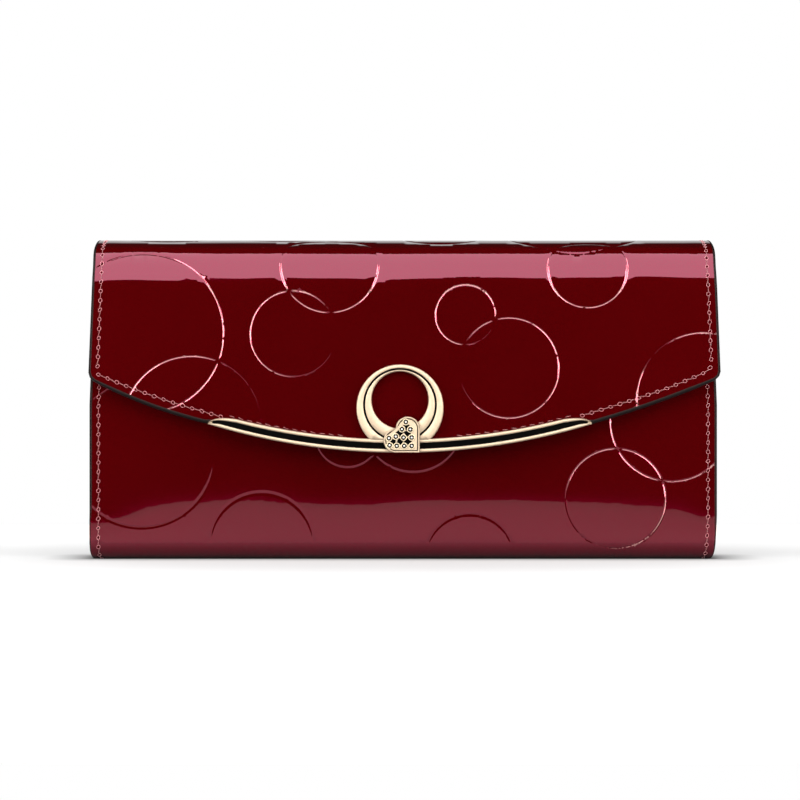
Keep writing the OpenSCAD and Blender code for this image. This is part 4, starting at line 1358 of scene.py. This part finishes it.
rear_y, front_y = high_of("pocket_rear_wall")[1], low_of("pocket_front_wall")[1]
for word, side in (("left", -1), ("right", 1)):
    for wall, y_case, y_far, shelf, body in (("rear", BACK_IN_Y, rear_y, 3.6, "case"),
                                             ("front", FRONT_IN_Y, front_y, 1.4, "front_panel")):
        gusset(f"pleat_{wall}_{word}", f"{wall}_gusset_{word}", y_case, y_far, shelf,
               GUSSET_LEATHER, side)
for node, hem in (("pocket_front_wall", 4.0), ("pocket_rear_wall", 4.0), ("pocket_floor", 0.0)):
    soft_box("leather_" + node, node, SLOT_LEATHER, "slot_leather", "pocket", hem=hem)
seam_low, seam_high = low_of("pocket_side_seams"), high_of("pocket_side_seams")
for word, a, b in (("left", seam_low[0], seam_low[0] + 2), ("right", seam_high[0] - 2, seam_high[0])):
    soft_box("leather_side_seam_" + word, "pocket_side_seams", SLOT_LEATHER, "slot_leather", "pocket",
             box=(np.array([a, *seam_low[1:]]), np.array([b, *seam_high[1:]])))
for node in ("zip_tape_front", "zip_tape_rear"):
    soft_box("woven_" + node, node, TAPE, "zip_tape", "pocket", wave=0.0, edge=0.2)
for node in ("back_board", "bottom_board", "front_board", "flap_board"):
    dress(node, BOARD)
teeth(ZIP_METAL, "zip_teeth_front", -1)
teeth(ZIP_METAL, "zip_teeth_rear", 1)
for node, bevel in (("zip_stops", 0.12), ("zip_slider", 0.12), ("zip_pull", 0.15)):
    dress(node, ZIP_METAL, bevel)
for node in ("snap_socket_washer", "snap_stud_washer"):
    dress(node, STEEL, 0.1)

# ---- floor, light and camera


def emitter(name, corners, strength, unseen=(), tint=(1.0, 1.0, 1.0)):
    """A softbox: a flat light panel, corners in mm, hidden from the camera and from some kinds of ray."""
    mat = bpy.data.materials.new(name)
    mat.use_nodes = True
    mat.node_tree.nodes.clear()
    light = add(mat, "ShaderNodeEmission", {"Strength": strength, "Color": (*tint, 1)})[0]
    add(mat, "ShaderNodeOutputMaterial", {"Surface": light})
    obj = make_object(name, corners, [tuple(range(len(corners)))], mat, smooth=False)
    for ray in ("camera", *unseen):
        setattr(obj, "visible_" + ray, False)


def upright(side, near, far, low, high):
    """Corners of an upright panel at one side, from its near edge (x, y) to its far one."""
    return [(side * x, y, z) for (x, y), z in ((near, low), (far, low), (far, high), (near, high))]


SOFTBOX = [  # x, and how far up from its lower front edge (0 to 1)
    (-1300, 0), (-132, 0), (-102, 0.07), (1300, 0.07), (1300, 0.90), (-102, 0.90), (-132, 1), (-1300, 1),
]
SOFTBOX_Y, SOFTBOX_Z = (-900, 650), (331, 935)  # of that edge, and how far the panel goes from there

softbox = [(x, *(start + reach * up for start, reach in (SOFTBOX_Y, SOFTBOX_Z))) for x, up in SOFTBOX]
emitter("softbox", softbox, 4.9)
for word, side in (("left", -1), ("right", 1)):
    strip = upright(side, (620, -560), (330, -790), 15, 700)
    emitter("strip_" + word, strip, 32.0, ["diffuse"], tint=(1.0, 0.95, 0.80))
    emitter("fill_" + word, upright(side, (330, -90), (210, -220), 20, 160), 9.0, ["glossy"])
back_fill = [(-1200, 500, 1000), (1200, 500, 1000), (1200, 1300, 500), (-1200, 1300, 500)]
emitter("back_fill", back_fill, 3.8, ["glossy"])


def floor_material():
    """Pale matt floor that glows a little, with a painted soft shadow where the wallet's foot meets it, and a
    painted warm glow far away.
    """
    albedo = (0.34, 0.34, 0.34)
    mat = material("floor", albedo, 0.9, Specular_IOR_Level=0.0, Emission_Strength=0.30)
    far = add(mat, "ShaderNodeNewGeometry")["Position"]
    centre = (0.0, (FRONT_Y + BACK_Y) / 2, 0.0)
    half = (BODY_HALF_W - 2, (BACK_Y - FRONT_Y) / 2 - 4.5, 0.0)
    for word, by in (("SUBTRACT", centre), ("ABSOLUTE", None), ("SUBTRACT", half), ("MAXIMUM", (0, 0, 0))):
        feeds = {0: far, 1: [v * MM for v in by]} if by else {0: far}
        far = add(mat, "ShaderNodeVectorMath", feeds, operation=word)[0]
    far = add(mat, "ShaderNodeVectorMath", {0: far}, operation="LENGTH")["Value"]
    reach = 150  # of the painted shadow, in mm
    painted_shadow_ramp = mat.node_tree.nodes.new("ShaderNodeValToRGB")
    plug(painted_shadow_ramp.inputs[0], add(mat, "ShaderNodeMapRange", {0: far, 2: reach * MM})[0])
    # how light the floor's colour and glow are painted at each distance from the foot: a painted contact
    # shadow
    painted_shadow_stops = [(0, 0.0), (1.5, 0.13), (3, 0.30), (6, 0.50), (9, 0.62), (13, 0.74), (18, 0.85), (30, 0.88),
             (50, 0.91), (75, 0.96), (110, 1), (reach, 1)]
    while len(painted_shadow_ramp.color_ramp.elements) < len(painted_shadow_stops):
        painted_shadow_ramp.color_ramp.elements.new(0.5)
    for element, (at, light) in zip(painted_shadow_ramp.color_ramp.elements, painted_shadow_stops):
        element.position, element.color = at / reach, (light, light, light, 1)
    element.color = (1.24, 1.06, 1, 1)  # far away the floor is painted warm, in colour and glow, to warm the leather's reflection of it
    feed(mat, "Base Color", mix(mat, 1.0, painted_shadow_ramp.outputs[0], (*albedo, 1), blend_type="MULTIPLY"))
    feed(mat, "Emission Color", painted_shadow_ramp.outputs[0])
    return mat


floor_corners = [(-800, -575, 0), (800, -575, 0), (800, 260, 0), (-800, 260, 0)]
make_object("floor", floor_corners, [(0, 1, 2, 3)], floor_material(), smooth=False)

# the world: white to the camera, nearly dark to all else, with a low glow from behind
world = bpy.data.worlds.new("studio")
bpy.context.scene.world = world
world.use_nodes = True
world.node_tree.nodes.clear()
toward = add(world, "ShaderNodeTexCoord")["Generated"]
toward = add(world, "ShaderNodeSeparateXYZ", {0: toward})
behind = add(world, "ShaderNodeMapRange", {0: toward["Y"], 1: -0.15, 2: 0.15, 3: 0.0, 4: 0.65})[0]
low_down = add(world, "ShaderNodeMapRange", {0: toward["Z"], 1: 0.31, 2: 0.40, 3: 1.0, 4: 0.0})[0]
strength = add(world, "ShaderNodeMath", {0: behind, 1: low_down, 2: 0.006}, operation="MULTIPLY_ADD")[0]
lit = add(world, "ShaderNodeBackground", {"Strength": strength})[0]
seen = add(world, "ShaderNodeBackground", {"Color": (1, 1, 1, 1), "Strength": 1.0})[0]
by_camera = add(world, "ShaderNodeLightPath")["Is Camera Ray"]
pick = add(world, "ShaderNodeMixShader", {0: by_camera, 1: lit, 2: seen})[0]
add(world, "ShaderNodeOutputWorld", {"Surface": pick})

# the camera, in metres: in front of the wallet, at half its height
camera = bpy.data.objects.new("camera", bpy.data.cameras.new("camera"))
bpy.context.scene.collection.objects.link(camera)
camera.data.sensor_width = 36
camera.data.lens = 145.3
camera.data.clip_start, camera.data.clip_end = 0.05, 50
camera.location = (-0.0010, -1.015, 0.0495)
camera.rotation_euler = (math.pi / 2, 0, 0)
bpy.context.scene.camera = camera
bpy.context.scene.view_settings.view_transform = "Standard"
